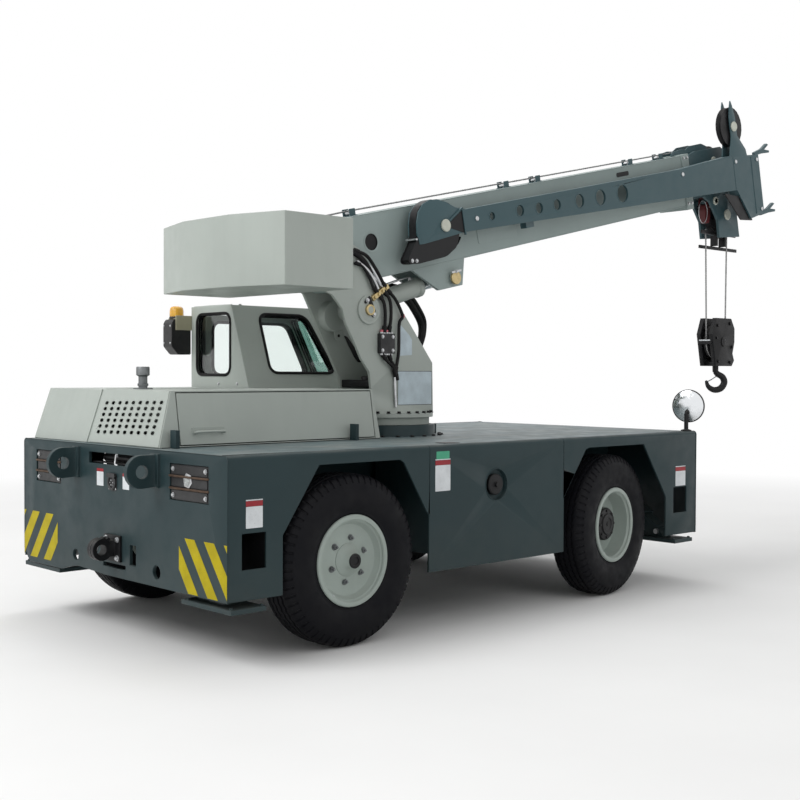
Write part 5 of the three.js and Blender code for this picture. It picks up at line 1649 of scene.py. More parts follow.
# ---------------------------------------------------------------- superstructure
@dataclass
class Mast:
    """The two-plate mast on the slewing ring with its pins, hoses, valve block and films."""

    half: float = 150.0
    heel: tuple[float, float] = (1400.0, 1880.0)
    lift_pin: tuple[float, float] = (1574.0, 1707.0)
    slew_x: float = 1850.0
    body: str = "turret"

    def build(self) -> None:
        """Dresses the mast."""
        softened("mast", Coat.GREY, 2.0)
        self.pins()
        self.hoses()
        self.valve_block()
        self.foot()
        self.films()

    def pins(self) -> None:
        """Pin ends proud of their bosses, with a keeper over the lift pin and a cap on the heel."""
        x, z = self.lift_pin
        h = self.half
        end = spun([[0, -4], [32.8, -4], [32.8, 10], [30, 13.5], [22, 14], [18, 9], [0, 9]], "y")
        near = end.mirrored().shifted((x, -h - 14, z))
        collar = spun([[66, 0], [84, 0], [84, 10], [80, 13], [68, 13], [66, 0]], "y", 56)
        rim = collar.mirrored().shifted((x, -h, z))
        piece("lift_pin_end", near, Coat.BRASS, self.body)
        piece("lift_pin_collar", rim, Coat.GREY, self.body)
        flat = rounded([[1530, 1752], [1571, 1790], [1618, 1704], [1603, 1662], [1588, 1672],
                        [1594, 1704], [1566, 1756], [1542, 1740]], 6)
        keeper = slab(flat, "y", -h - 20, -h - 12)
        bolts = [hex_bolt("y", 17, 10, -1).shifted((px, -h - 19.5, pz)) for px,
                 pz in ((1552, 1762), (1602, 1682))]
        piece("pin_keeper", keeper, Coat.BLACK, self.body, 1.5)
        piece("pin_keeper_bolts", bolts, Coat.STEEL, self.body)
        hx, hz = self.heel
        cap = spun([[0, 0], [47, 0], [47, 7], [42, 10], [0, 10]], "y")
        cap = cap.mirrored().shifted((hx, -h, hz))
        t = full_turn(6)
        ring = [hex_bolt("y", 13, 7, -1).shifted((hx + 33 * math.cos(a), -h - 9.5,
                                                  hz + 33 * math.sin(a))) for a in t]
        piece("heel_pin_cap", cap, Coat.GREY, self.body, 0.8)
        piece("heel_pin_bolts", ring, Coat.STEEL, self.body)

    def hose(self, points: Sequence[Point], radius: float, clips: bool = True) -> list[Shape]:
        """A hose with crimped ferrules at both ends."""
        path = smooth(points, 9)
        made = [tube(path, radius, 14, up=(0.02, 1, 0.01))]
        if clips:
            for a, b in ((0, 3), (-1, -4)):
                step = path[b] - path[a]
                step = step / np.linalg.norm(step)
                ferrule = np.array([path[a], path[a] + step * 8, path[a] + step * 34,
                                    path[a] + step * 38])
                made.append(swept(ferrule, circle(radius + 3.2, 14), up=(0.02, 1, 0.01),
                                  grow=np.array([1, 1.05, 1.05, 0.9])))
        return made

    def hoses(self) -> None:
        """The near side's hoses from the boom's heel down to the valve block."""
        y = -self.half - 14
        black: list[Shape] = []
        black += self.hose([(1452, y, 2045), (1538, y - 10, 2018), (1605, y - 12, 1952),
                            (1668, y - 6, 1876), (1700, y, 1840)], 10)
        black += self.hose([(1459, y, 1973), (1511, y - 6, 1957), (1560, y - 8, 1900),
                            (1592, y - 8, 1842), (1633, y, 1814)], 9)
        black += self.hose([(1646, y, 1804), (1681, y - 8, 1746), (1690, y - 8, 1660),
                            (1688, y, 1580)], 10)
        black += self.hose([(1680, y, 1826), (1722, y - 12, 1768), (1732, y - 12, 1670),
                            (1727, y, 1582)], 10)
        black += self.hose([(1708, y, 1833), (1765, y - 10, 1780), (1812, y - 12, 1710),
                            (1826, y - 10, 1672), (1800, y - 10, 1630), (1796, y - 10, 1465),
                            (1779, y, 1343)], 10)
        black += self.hose([(1676, y + 4, 1452), (1700, y - 10, 1415), (1752, y - 10, 1375),
                            (1780, y, 1322)], 9)
        black += self.hose([(1730, y + 4, 1452), (1745, y - 4, 1410), (1775, y - 4, 1370),
                            (1795, y, 1300)], 9)
        piece("mast_hoses", black, Coat.HOSE, self.body, angle=40.0)
        bright = smooth([(1459, y, 1983), (1520, y - 4, 1952), (1600, y - 4, 1898),
                         (1646, y - 2, 1865), (1673, y, 1846)], 8)
        pipe_two = smooth([(1779, y + 4, 1340), (1779, y + 2, 1240), (1786, y + 2, 1140)], 8)
        piece("mast_pipes",
              [tube(bright, 7, 14, up=(0, 1, 0)), tube(pipe_two, 8, 14, up=(0, 1, 0))], Coat.STEEL,
              self.body)
        silver = []
        for d in (0, 20):
            path = smooth([(1470 + d, y - 2, 1986 + d), (1549 + d, y - 8, 1936 + d),
                           (1600 + d, y - 8, 1880 + d), (1634 + d, y - 4, 1832 + d)], 8)
            silver.append(tube(path, 9.5, 14, up=(0, 1, 0)))
        piece("mast_silver_hoses", silver, Coat.STEEL, self.body, angle=40.0)
        thick = self.hose([(1448, y + 2, 2030), (1500, y - 4, 2004), (1560, y - 4, 1952),
                           (1582, y, 1920)], 15, False)
        piece("mast_thick_hose", thick, Coat.HOSE, self.body, angle=40.0)
        across = np.array([(1590, y + 2, 1770), (1715, y + 2, 1852)], float)
        bar = swept(across, oblong(-15, -13, 15, 13, 4), up=(0, 1, 0))
        caps = [spun(rod(10, -19, 19), "y", 6, (1590 + 125 * s, y, 1770 + 82 * s))
                for s in (0.15, 0.38, 0.62, 0.86)]
        piece("hose_manifold", [bar] + caps, Coat.BRASS, self.body, 1.5)
        # A black sheet on the far plate's inner face: painted shadow, the diagonal band of shade across that face.
        slot = rounded([[1628, 1566], [1655, 1560], [1774, 1432], [1780, 1408], [1744, 1404],
                        [1712, 1436]], 14)
        piece("far_plate_painted_shadow", slab(slot, "y", 127.4, 130.4), Coat.BLACK, self.body)
        tab = rounded([[1536, 1612], [1600, 1612], [1604, 1560], [1588, 1536], [1548, 1536],
                       [1534, 1562]], 12)
        # The tab's hole is a black disc laid on its face: painted shade for the hole.
        hole = spun(rod(9, 0, 2), "y", 20, (1568, 103.0, 1562))
        piece("reel_tab", slab(tab, "y", 105, 112), Coat.GREY, self.body, 1.5)
        piece("reel_tab_hole_painted_shade", hole, Coat.BLACK, self.body)
        fitting = [spun([[0, 0], [13, 0], [13, 22], [10, 24], [0, 24]], "z", 6,
                        (1829, y - 8, 1668))]
        piece("capped_fitting", fitting, Coat.PINK, self.body, 0.8)

    def valve_block(self) -> None:
        """The block where the hoses meet, with unions and two red caps."""
        y = -self.half
        block_shape = slab(oblong(1648, 1456, 1762, 1573, 6), "y", y - 30, y + 0.5)
        unions, caps = [], []
        for x in (1668, 1688, 1708, 1727, 1746):
            unions.append(spun([[0, 0], [9, 0], [9, 12], [6, 14], [0, 14]], "z", 6,
                               (x, y - 14, 1571)))
            unions.append(spun(rod(9, 0, -10), "z", 6, (x, y - 14, 1457)))
        for x in (1668, 1708):
            caps.append(spun([[0, 0], [10.5, 0], [9.5, 12], [0, 14]], "z", 20, (x, y - 14, 1582)))
        face = [hex_bolt("y", 14, 7, -1).shifted((x, y - 29.5, z)) for x in (1664, 1746)
                for z in (1474, 1555)]
        piece("valve_block", block_shape, Coat.CAST, self.body, 1.5)
        piece("valve_unions", unions + face, Coat.STEEL, self.body)
        piece("valve_caps", caps, Coat.PINK, self.body)

    def foot(self) -> None:
        """The bolted flange at the mast's foot, the swivel between the plates and its box."""
        t = full_turn(28)
        ring = [(self.slew_x + 279 * math.cos(a), 279 * math.sin(a), 1104.5) for a in t
                if abs(math.sin(a)) * 279 > 162]
        piece("slew_bolts", repeated(hex_bolt("z", 19, 13), ring), Coat.BLACK, self.body)
        box_low = slab(oblong(1612, 1256, 1860, 1300, 6), "y", -128, 128)
        swivel = spun([[0, 1105], [70, 1105], [70, 1160], [58, 1166], [58, 1230], [48, 1240],
                       [0, 1240]], "z", 40, (self.slew_x, 0, 0))
        piece("mast_box", box_low, Coat.BLACK, self.body, 3.0)
        piece("swivel_joint", swivel, Coat.CAST, self.body, 1.0)
        knob = spun([[0, 1299], [26, 1299], [28, 1306], [28, 1318], [22, 1324], [0, 1324]], "z", 32,
                    (1640, -60, 0))
        piece("mast_box_knob", knob, Coat.PLASTIC, self.body)
        reel = [spun([[60, -6], [74, -6], [76, -3], [76, 9], [74, 12], [60, 12], [60, -6]], "y", 48,
                     (1515, 110, 1677))]
        piece("reel_rim", reel, Coat.BLACK, self.body)

    def films(self) -> None:
        """A blank chart and a blank plate on the near mast plate."""
        y = -self.half
        chart = oblong(1815, 1153, 2095, 1351, 4)
        rule = oblong(1812, 1150, 2098, 1354, 4)
        piece("load_chart", slab(chart, "y", y - 1.2, y + 0.2), Coat.CHART, self.body)
        piece("load_chart_backing", slab(rule, "y", y - 0.7, y + 0.2), Coat.PLASTIC, self.body)
        plate = rounded([[1824, 1636], [1905, 1570], [1928, 1540], [1928, 1450], [1825, 1444]], 4)
        piece("mast_plate", slab(plate, "y", y - 1.2, y + 0.2), Coat.CHART, self.body)


@dataclass
class Winch:
    """The winch housing behind the boom's heel, the drum in it and the rope wound on."""

    barrel: float = 105.0
    half: float = 106.0
    rope: float = 6.0

    def build(self) -> None:
        """Dresses the housing and winds the rope."""
        softened("winch_housing", Coat.GREY, 4.0)
        softened("winch_drum", Coat.BLACK, 1.2)
        self.wound_rope()
        self.motor()

    def wound_rope(self) -> None:
        """Rope wound side by side: (r cos t, pitch t / 2 pi, r sin t), its section a ring of six
        strands that turns as it goes."""
        x, y, z = DRUM
        layers = []
        turns = 16
        for radius, lay in ((self.barrel + 6.2, 1), (self.barrel + 16.6, -1)):
            t = np.linspace(0, turns * 2 * math.pi, turns * 40)
            along = lay * np.linspace(-self.half + 7, self.half - 7, len(t))
            path = np.stack([x + radius * np.cos(t), y + along, z + radius * np.sin(t)], 1)
            a = full_turn(12)
            wave = self.rope * (0.93 + 0.07 * np.cos(STRANDS * a))
            section = np.stack([wave * np.cos(a), wave * np.sin(a)], 1)
            layers.append(swept(path, section, up=(0, 1, 0)))
        piece("wound_rope", layers, Coat.ROPE, "drum", angle=80.0)

    def motor(self) -> None:
        """The winch motor beside the drum, inside the housing, and its two hoses."""
        x, _, z = DRUM
        can = spun([[0, 0], [70, 0], [70, 60], [55, 66], [55, 190], [40, 204], [0, 204]], "y", 40,
                   (x - 20, 160, z - 20))
        piece("winch_motor", can, Coat.CAST, "turret", 1.0)
        hoses = [tube(smooth([(x - 20 + d, 330, z + 36), (x + 30 + d, 330, z + 90),
                              (x + 90, 300, z + 110), (x + 100, 230, z + 60)], 8), 11, 12,
                      up=(0, 1, 0)) for d in (-26, 20)]
        piece("winch_hoses", hoses, Coat.HOSE, "turret")


@dataclass
class Ropes:
    """The hoist rope's straight runs, each a closed twisted section of six strands."""

    wound: float = 127.6
    lay: float = 85.0

    def strand(self, path: Array, radius: float) -> Shape:
        """A rope of six strands: the section r (0.9 + 0.1 cos 6a), turned evenly along the path."""
        a = full_turn(18)
        wave = radius * (0.9 + 0.1 * np.cos(STRANDS * a))
        section = np.stack([wave * np.cos(a), wave * np.sin(a)], 1)
        length = np.concatenate([[0], np.cumsum(np.linalg.norm(np.diff(path, axis=0), axis=1))])
        return swept(path, section, up=(0.01, 1, 0.02), twist=length / self.lay * 2 * math.pi)

    @staticmethod
    def line(a: Point, b: Point, step: float = 14.0) -> Array:
        """Even points from a to b."""
        a, b = np.asarray(a, float), np.asarray(b, float)
        n = max(3, int(np.linalg.norm(b - a) / step))
        return a + (b - a) * np.linspace(0, 1, n)[:, None]

    def build(self) -> None:
        """Runs the rope from the drum over the boom to the nose and down to the block."""
        self.top_runs()
        self.lead()
        self.falls()

    def top_runs(self) -> None:
        """Three runs in one line over the boom, so that the rope stays covered as it telescopes."""
        z = 368.0
        runs = (("boom", 210, 3640, 6.0), ("mid_section", 900, 3700, 5.8),
                ("tip_section", 1500, 4105, 5.6))
        for body, start, end, radius in runs:
            path = self.line((start, 0, z), (end, 0, z), 22.0)
            piece(f"rope_over_{body}", self.strand(path, radius), Coat.ROPE, body, place=BOOM,
                  angle=80.0)

    def lead(self) -> None:
        """The run from the drum's top to the boom's first guide, bent between the two bodies."""
        start = np.array(DRUM) + (0, 0, self.wound)
        end = boom_to_carrier(210.0, 0.0, 368.0)
        middle = start + (end - start) * 0.5 + (0, 0, 14)
        path = smooth([start, middle, end], 16)
        obj = piece("rope_lead", self.strand(path, 6.0), Coat.ROPE, "", angle=80.0)
        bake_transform(obj)

    def falls(self) -> None:
        """Two falls between the nose sheave and the block's sheave, and the run round each."""
        b, drop = 137.0, BLOCK_DROP
        t = np.linspace(0, math.pi, 60)
        under = np.stack([b * np.cos(t), 0 * t, -drop - b * np.sin(t)], 1)
        falls = [self.strand(self.line((-161, 0, -120), (-b, 0, -drop)), 7.0),
                 self.strand(self.line((148, 0, 0), (b, 0, -drop)), 7.0), self.strand(under, 7.0)]
        piece("rope_falls", falls, Coat.ROPE, "block", place=HANGING, angle=80.0)
        over = smooth([(4100, 0, 368), (4180, 0, 352), (4236, 0, 290), (4262, 0, 180),
                       (4277, 0, 20), (4294, 0, -150)], 14)
        piece("rope_over_nose", self.strand(over, 6.0), Coat.ROPE, "tip_section", place=BOOM,
              angle=80.0)


def boom_to_carrier(x: float, y: float, z: float) -> Array:
    """A point given in the boom's own millimetres, in the carrier's millimetres."""
    metres = BOOM.to_frame(np.array([[x, y, z]], float))[0]
    return (metres - np.array(CARRIER.origin)) / MM


# ---------------------------------------------------------------- boom
@dataclass
class Boom:
    """The three box sections with their collars, wear pads, rope guides and nose."""

    def build(self) -> None:
        """Dresses the boom."""
        # The boom sections take the grey darkened with painted shade.
        softened("boom_base", Coat.BOOM, 3.0)
        softened("boom_mid", Coat.BOOM, 2.5)
        softened("boom_tip", Coat.JIB, 2.5)
        softened("nose_sheave", Coat.BLACK, 1.5)
        self.base_fittings()
        self.collar_pads()
        self.nose()
        self.hose_arc()

    def base_fittings(self) -> None:
        """Rope guides, the heel's hole with a black disc of painted shade inside it, the lift lug's pins, a patch,
        a slot drawn as a black oblong of painted shade, and the seams.
        """
        guides, rollers = [], []
        for x in (240, 1624, 1952, 3027, 3420):
            guides.append(block((x - 22, -34, 335), (x + 22, -26, 380)))
            guides.append(block((x - 22, 26, 335), (x + 22, 34, 380)))
            guides.append(block((x - 30, -40, 335), (x + 30, 40, 341)))
            rollers.append(spun([[0, -26], [13, -26], [9, 0], [13, 26], [0, 26]], "y", 20,
                                (x, 0, 352)))
        piece("rope_guides", guides, Coat.JIB, "boom", 1.2, place=BOOM)
        piece("rope_rollers", rollers, Coat.STEEL, "boom", place=BOOM)
        tube_in = spun([[49, -113.5], [57, -116.2], [62, -116.8], [62, -114.5], [50, -111],
                        [49, -113.5]], "y", 48, (276, 0, 171))
        # A black disc inside the heel's hole: painted shade for the boom's dark inside.
        back = spun(rod(56, -106.5, -104), "y", 40, (276, 0, 171))
        piece("heel_hole_rim", tube_in, Coat.BOOM, "boom", place=BOOM)
        piece("heel_hole_painted_shade", back, Coat.BLACK, "boom", place=BOOM)
        pin = spun([[0, 133], [42, 133], [42, 145], [39, 148], [0, 148]], "y", 48, (905, 0, -150))
        both = [pin, pin.mirrored()]
        keeper = block((862, -156, -116), (948, -148, -104))
        piece("lift_lug_pins", both, Coat.BRASS, "boom", 0.6, place=BOOM)
        piece("lift_lug_keeper", [keeper, hex_bolt("y", 14, 8, -1).shifted((905, -155, -110))],
              Coat.STEEL, "boom", place=BOOM)
        patch = slab(oblong(1180, 20, 1560, 118, 18), "y", -119, -114.5)
        piece("boom_patch", patch, Coat.BOOM, "boom", 1.2, place=BOOM)
        # The slot is a black oblong laid on the side plate: painted shade for the dark inside seen through a slot.
        slot = slab(oblong(2720, 268, 2870, 300, 15), "y", -115.8, -114.6)
        piece("boom_side_slot_painted_shade", slot, Coat.BLACK, "boom", place=BOOM)
        seams = [swept(Ropes.line((100 + 20, y, z), (3548, y, z), 60), circle(3.0, 8)) for y,
                 z in ((-114.5, 335.5), (114.5, 335.5), (-114.5, -42.5), (114.5, -42.5))]
        piece("boom_seams", seams, Coat.BOOM, "boom", place=BOOM, angle=60.0)

    def collar_pads(self) -> None:
        """Wear pads at each section's mouth and their adjusting bolts."""
        for body, half, bottom, top, front in (("boom", 115, -43, 336, 3640),
                                               ("mid_section", 98, -26, 318, 3690)):
            pads = []
            inner = half - 9
            for sign in (-1, 1):
                for z in (bottom + 45, top - 45):
                    pads.append(block((front - 0.5, min(sign * (inner - 7.5), sign * inner),
                                       z - 26), (front + 6,
                                                 max(sign * (inner - 7.5), sign * (inner + 2)),
                                                 z + 26)))
            piece(f"{body}_wear_pads", pads, Coat.CREAM, body, 0.8, place=BOOM)
        spots = [(x, -128.0 + 0.5, z) for x in (3572, 3618) for z in (-30, 60, 240, 316)]
        bolts = [hex_bolt("y", 17, 10, -1).shifted(p) for p in spots]
        bolts += [b.mirrored() for b in bolts]
        piece("collar_bolts", bolts, Coat.STEEL, "boom", place=BOOM)

    def nose(self) -> None:
        """Nose pins, rope keepers, the wedge socket and the bars that stop the block."""
        body = "tip_section"
        heads = []
        for x, z, r in ((4150, -190, 42), (4040, 250, 34), (4000, -60, 32)):
            head = spun([[0, 0], [r, 0], [r, 8], [r - 4, 12], [0, 12]], "y", 40)
            near = head.mirrored()
            heads += [near.shifted((x, -92, z)), head.shifted((x, 92, z))]
        piece("nose_pin_heads", heads, Coat.CREAM, body, 0.6, place=BOOM)
        keepers = []
        for angle in (0.35, 1.5, 2.6):
            x, z = 4150 + 172 * math.cos(angle), -190 + 172 * math.sin(angle)
            keepers.append(spun(rod(8, -70, 70), "y", 16, (x, 0, z)))
        piece("rope_keepers", keepers, Coat.STEEL, body, place=BOOM)
        socket = slab(rounded([[-26, -20], [-40, -70], [-34, -150], [-12, -172], [22, -168],
                               [40, -110], [34, -50], [22, -14]], 14), "y", -26, 26)
        clevis = [slab(rounded([[-30, 40], [30, 40], [34, -40], [-34, -40]], 22), "y", s, s + 10)
                  for s in (-40, 30)]
        at = boom_to_carrier(4000, 0, -60)
        piece("wedge_socket", [s.shifted(at) for s in [socket] + clevis], Coat.RED, body, 2.0)
        t = full_turn(40)
        loop = np.stack([at[0] - 86 + 60 * np.cos(t), np.full(40, -38.0),
                         at[2] - 90 + 88 * np.sin(t)], 1)
        piece("wedge_wire", tube(loop, 2.6, 8, True, (0, 1, 0)), Coat.STEEL, body)
        bars = [block((5217, -34, 2458), (5716, -22, 2486)),
                block((5276, 22, 2348), (5825, 34, 2374)),
                block((5440, -30, 2374), (5462, 30, 2458)),
                block((5560, -30, 2374), (5582, 30, 2458)),
                block((5470, -16, 2440), (5552, 16, 2560))]
        piece("block_stop_bars", bars, Coat.BLACK, body, 2.0)
        hood = rounded([[3506, 341], [3530, 372], [3640, 384], [3716, 376], [3770, 398],
                        [3940, 401], [4013, 374], [4013, 341]], 12)
        piece("nose_top_guard", [slab(hood, "y", -62, -54), slab(hood, "y", 54, 62)], Coat.JIB,
              body, 2.0, place=BOOM)
        top_wheel = spun([[14, -16], [70, -16], [70, -12], [56, -3], [56, 3], [70, 12], [70, 16],
                          [14, 16], [14, -16]], "y", 48, (4110, 0, 298))
        piece("nose_top_roller", top_wheel, Coat.BLACK, body, place=BOOM)

    def hose_arc(self) -> None:
        """The bundle of hoses that arcs from the boom's foot down beside the lift cylinder."""
        arc = [(1910, 1859), (1956, 1881), (2037, 1875), (2142, 1824), (2214, 1753), (2263, 1680),
               (2267, 1612), (2247, 1541), (2196, 1452)]
        hoses = []
        for y, d in ((86, 0), (86, 27), (111, 3), (111, 30)):
            path = smooth([(x - d * 0.6, y, z - d) for x, z in arc], 10)
            hoses.append(tube(path, 12, 12, up=(0, 1, 0)))
        obj = piece("arc_hoses", hoses, Coat.HOSE, "", angle=40.0)
        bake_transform(obj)


@dataclass
class Jib:
    """The jib stowed along the boom's right side, its sheaves, pins and hangers."""

    near: float = -262.0
    far: float = -182.0
    tip: tuple[float, float] = (2094.0, 2231.0)

    def build(self) -> None:
        """Dresses the jib."""
        softened("stowed_jib", Coat.JIB, 1.5)
        softened("jib_tip_sheave", Coat.BLACK, 1.5)
        softened("jib_top_sheave", Coat.BLACK, 1.5)
        self.hole_rims()
        self.pins()
        self.details()

    def hole_rims(self) -> None:
        """A flange turned in round every lightening hole."""
        holes = ((1185, 186, 27), (1457, 184, 38), (1647, 176, 38), (1834, 174, 38),
                 (2076, 168, 48), (2310, 163, 56), (2566, 157, 64))
        rims = []
        y = self.near
        for x, z, r in holes:
            rims.append(spun([[r - 2.5, y - 1.5], [r + 4, y - 1.5], [r + 5, y + 0.5],
                              [r - 0.5, y + 3], [r - 0.5, y + 14], [r - 3, y + 14],
                              [r - 2.5, y - 1.5]], "y", 48, (x, 0, z)))
        piece("jib_hole_flanges", rims, Coat.JIB, "boom", place=BOOM)

    def pins(self) -> None:
        """Cream pin caps on the beam's foot and the ear, and small bolt heads."""
        caps, steel = [], []
        y = self.near
        cap = spun([[0, 0], [36, 0], [38, 4], [38, 10], [33, 15], [0, 15]], "y", 40)
        cap = cap.mirrored()
        for x, z in ((755, 187), (4101, 490)):
            caps.append(cap.shifted((x, y - 1, z)))
        small = spun([[0, 0], [15, 0], [15, 6], [12, 9], [0, 9]], "y", 24)
        small = small.mirrored()
        for x, z in ((4395, 205), (4395, -190), (4080, 220), (3330, 205), (1040, 190)):
            steel.append(small.shifted((x, y, z)))
        piece("jib_pin_caps", caps, Coat.CREAM, "boom", 0.8, place=BOOM)
        piece("jib_bolts", steel, Coat.STEEL, "boom", 0.6, place=BOOM)

    def details(self) -> None:
        """Seams, the guard round the tip sheave with its band and bolts, the gusset at the head, and a black sheet
        of painted shadow inside the jib's end.
        """
        y = self.near
        seam = slab(np.array([[4048, 2], [4056, 2], [4056, 262], [4048, 262]]), "y", y - 2.0,
                    y + 0.5)
        flange = slab(oblong(4310, -218, 4322, 236, 3), "y", y - 3.0, y + 0.5)
        piece("jib_seams", [seam, flange], Coat.JIB, "boom", 0.8, place=BOOM)
        cheek = rounded([[1930, 2150], [1862, 2150], [1856, 2112], [1792, 2006], [1806, 1982],
                         [1880, 1987], [2115, 2047], [2202, 2111], [2227, 2190]], 26)
        t = np.linspace(-0.24, -math.pi + 0.36, 24)
        bow = np.stack([self.tip[0] + 160 * np.cos(t), self.tip[1] + 160 * np.sin(t)], 1)
        floor = np.concatenate([[[1868, 2150], [1860, 2112], [1800, 2006], [1814, 1992],
                                 [1880, 1993], [2108, 2052], [2190, 2111], [2216, 2178]],
                                bow[1:-1]])
        guard = [slab(cheek, "y", y + 4, y + 11), slab(cheek, "y", self.far - 11, self.far - 4),
                 slab(floor, "y", y + 10, self.far - 10)]
        piece("jib_rope_guard", guard, Coat.BLACK, "boom")
        rim = smooth([(1862, -222, 2120), (1864, -222, 2168), (1862, -222, 2226),
                      (1872, -222, 2288), (1908, -222, 2338), (1958, -222, 2368),
                      (1990, -222, 2376)], 6)
        piece("jib_head_band", swept(rim, np.array([[-3, -29], [3, -29], [3, 29], [-3, 29]]),
                                     up=(0, 1, 0)), Coat.BLACK, "boom")
        bolts = [hex_bolt("y", 15, 8, -1).shifted((x, y + 4.5, z)) for x,
                 z in ((1826, 2002), (1862, 2004))]
        clip = block((1846, y - 6, 2124), (1858, self.far + 6, 2134))
        piece("jib_guard_bolts", bolts + [clip], Coat.STEEL, "boom")
        corner = slab(rounded([[2100, 2226], [2234, 2334], [2262, 2200]], 8), "y", y - 2.5, y + 0.4)
        piece("jib_gusset_film", corner, Coat.BLACK, "boom")
        edge = [swept(np.array([a, b], float), np.array([[-5, -6], [5, -6], [5, 6], [-5, 6]]),
                      up=(0, 1, 0)) for a, b in (((2088, y - 3, 2234), (2236, y - 3, 2352)),
                                                 ((2236, y - 3, 2352), (2270, y - 3, 2190)))]
        piece("jib_gusset_edges", edge, Coat.JIB, "boom", 1.0)
        # A black sheet inside the jib's end: painted shadow for the web that lies in shade behind the cut-back
        # near plate.
        shadow = slab(rounded([[5205, 2745], [5440, 2562], [5615, 2574], [5470, 2745]], 10), "y",
                      y + 14, y + 24)
        piece("jib_end_painted_shadow", shadow, Coat.BLACK, "boom", 1.0)


@dataclass
class LiftCylinder:
    """The cylinder that raises the boom: barrel with gland and ports, and a chromed rod."""

    def build(self) -> None:
        """Makes the cylinder's finer pieces."""
        softened("lift_barrel", Coat.GREY, 1.5, 30.0)
        softened("lift_rod", Coat.CHROME, 1.0, 30.0)
        gland = spun([[47, 541], [61.5, 541], [63, 544], [63, 574], [60.5, 578], [37, 578],
                      [37, 575.5], [47, 574], [47, 541]], "x", 56)
        wiper = spun([[34.4, 573], [42, 573], [41, 581], [36, 583], [34.4, 581], [34.4, 573]], "x",
                     56)
        piece("lift_gland", gland, Coat.GREY, "lift_tube", place=LIFT, angle=30.0)
        piece("lift_wiper", wiper, Coat.SEAL, "lift_tube", place=LIFT)
        pipe = smooth([(100, 0, 62), (110, 0, 76), (140, 0, 80), (480, 0, 80), (515, 0, 76),
                       (526, 0, 60)], 8)
        ports = [spun(rod(15, 50, 68), "z", 6, (x, 0, 0)) for x in (100, 526)]
        piece("lift_pipe", [tube(pipe, 7.0, 12, up=(0, 1, 0))] + ports, Coat.STEEL, "lift_tube",
              place=LIFT)


@dataclass
class HookBlock:
    """The block, its sheave, the hook with its latch, and what is bolted to the block."""

    def build(self) -> None:
        """Dresses the block and makes a round hook."""
        softened("hook_block", Coat.BLACK, 3.0)
        softened("hook_sheave", Coat.BLACK, 1.5)
        self.hook()
        self.dress()

    def hook(self) -> None:
        """The hook's curve with a section that thickens at its back and thins to the point, its
        shank, nut and spring latch."""
        spin = JOINTS["hook_swivel"]
        place = Place(tuple(spin["pos_m"]), 0.0, math.radians(-43))
        path = smooth([(0, 0, -36), (18, 0, -58), (58, 0, -84), (72, 0, -128), (44, 0, -174),
                       (-8, 0, -187), (-54, 0, -162), (-76, 0, -112)], 12)
        n = len(path)
        grow = np.interp(np.linspace(0, 1, n), [0, 0.12, 0.35, 0.6, 0.8, 0.95, 1],
                         [0.82, 0.9, 1.0, 1.0, 0.82, 0.55, 0.34])
        bowl = swept(path, circle(26.5, 24), up=(0, 1, 0), grow=grow)
        shank = spun([[0, -46], [22, -44], [24, -20], [24, 54], [0, 54]], "z", 32)
        piece("hook_forging", [bowl, shank], Coat.BLACK, "swivel_hook", place=place,
              replaces=["hook"], angle=40.0)
        nut = spun([[0, 41.6], [34, 41.6], [34, 52], [30, 55], [0, 55]], "z", 6)
        latch = [tube(smooth([(30, 0, -66), (4, 0, -80), (-30, 0, -102), (-62, 0, -120)], 6), 4.0,
                      8, up=(0, 1, 0)), spun(rod(7, -16, 16), "y", 16, (32, 0, -66))]
        piece("hook_nut", nut, Coat.STEEL, "swivel_hook", 0.6, place=place)
        piece("hook_latch", latch, Coat.DULL, "swivel_hook", place=place)

    def dress(self) -> None:
        """Pin heads, cheek bolts and the light bar on the rear face."""
        z = -BLOCK_DROP
        head = spun([[0, 0], [40, 0], [40, 6], [36, 9.5], [0, 9.5]], "y", 40, (0, 74, z))
        piece("block_pin_heads", [head, head.mirrored()], Coat.BLACK, "block", 0.8, place=HANGING)
        bolts = [hex_bolt("y", 22, 12).shifted((x, 73.5, z + dz)) for x,
                 dz in ((-90, 130), (90, 150), (120, -40), (-80, -160), (95, -165), (-105, 30))]
        piece("block_bolts", bolts + [b.mirrored() for b in bolts], Coat.BLACK, "block",
              place=HANGING)
        bar = [block((-166, -50, z + 6), (-158, 50, z + 16))]
        piece("block_light_bar", bar, Coat.WHITE, "block", 1.0, place=HANGING)


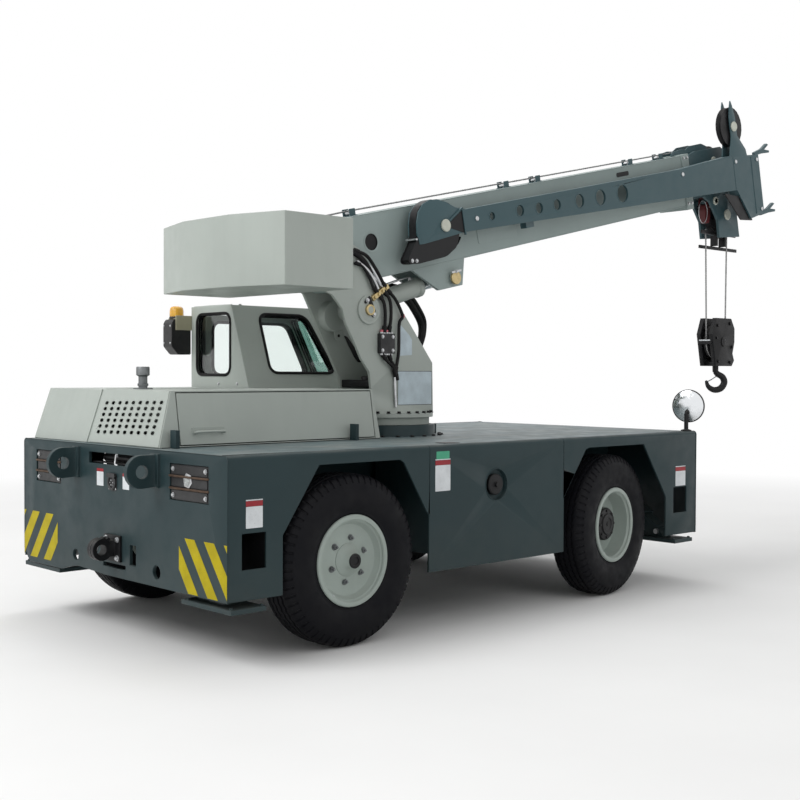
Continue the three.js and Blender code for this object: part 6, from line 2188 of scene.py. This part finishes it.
@dataclass
class Fittings:
    """The round mirror on its post and the pintle hitch."""

    def build(self) -> None:
        """Makes the mirror and the hitch."""
        self.mirror()
        self.hitch()

    def mirror(self) -> None:
        """A domed glass in a black shell on a bent post."""
        place = Place(tuple(CARRIER.to_frame(np.array([(3690.0, -930.0, 1133.0)]))[0]), 0.0,
                      math.radians(-74))
        shell = spun([[0, 3], [101, 3], [101, -2.5], [104, -4], [108, 0], [108, 7], [96, 10],
                      [0, 10]], "y", 64)
        glass = spun([[0, -15.6], [30, -15.1], [60, -12.2], [85, -7.4], [101, -2.4], [101, 3.4],
                      [0, 3.4]], "y", 64)
        piece("mirror_shell", shell, Coat.PLASTIC, place=place, replaces=["round_mirror"],
              angle=40.0)
        piece("mirror_glass", glass, Coat.MIRROR, place=place, angle=40.0)
        post = tube(np.array([(3668, -930, 970.5), (3668, -930, 1084)]), 14, 20, up=(1, 0, 0))
        foot = spun([[0, 970.4], [34, 970.4], [34, 977], [16, 983], [0, 983]], "z", 32,
                    (3668, -930, 0))
        ball = spun([[0, -18], [12, -14], [18, 0], [12, 14], [0, 18]], "z", 20, (3680, -930, 1092))
        arm = tube(smooth([(3668, -930, 1078), (3672, -930, 1090), (3682, -930, 1108)], 6), 10, 14,
                   up=(0, 1, 0))
        piece("mirror_post", [post, foot, ball, arm], Coat.BLACK)

    def hitch(self) -> None:
        """The pintle's jaws round a ring opening, its back plate, bolts and latch."""
        softened("pintle_hitch", Coat.BLACK, 2.0)
        t = full_turn(48)
        loop = np.stack([-80 + 42 * np.cos(t), 0 * t, 458 + 42 * np.sin(t)], 1)
        jaw = swept(loop, circle(15, 14), True, (0, 1, 0))
        latch = [spun(rod(9, -34, 34), "y", 20, (-50, 0, 508)),
                 slab(rounded([[-84, 498], [-40, 498], [-40, 520], [-84, 512]], 5), "y", -12, 12)]
        piece("pintle_jaw", [jaw] + latch, Coat.BLACK, angle=40.0)
        chain = smooth([(-20, 66, 500), (-46, 74, 462), (-60, 70, 424), (-52, 52, 400),
                        (-28, 58, 404)], 8)
        links = [tube(chain, 4.0, 8, up=(0.2, 1, 0.1))]
        piece("pintle_chain", links, Coat.STEEL)
        bolts = [hex_bolt("x", 20, 12, -1).shifted((-13.5, y, z)) for y in (-54, 54)
                 for z in (412, 504)]
        piece("pintle_bolts", bolts, Coat.STEEL)


def main() -> None:
    """Builds the crane's sub-assemblies in order."""
    logging.basicConfig(level=logging.INFO, format="%(message)s")
    parts = (Studio(), CarrierBody(), RunningGear(), Outriggers(), Hood(), Cab(), Mast(), Winch(),
             Boom(), Ropes(), Jib(), LiftCylinder(), HookBlock(), Fittings())
    for part in parts:
        log.info("== %s", type(part).__name__)
        part.build()


if __name__ == "__main__":
    main()
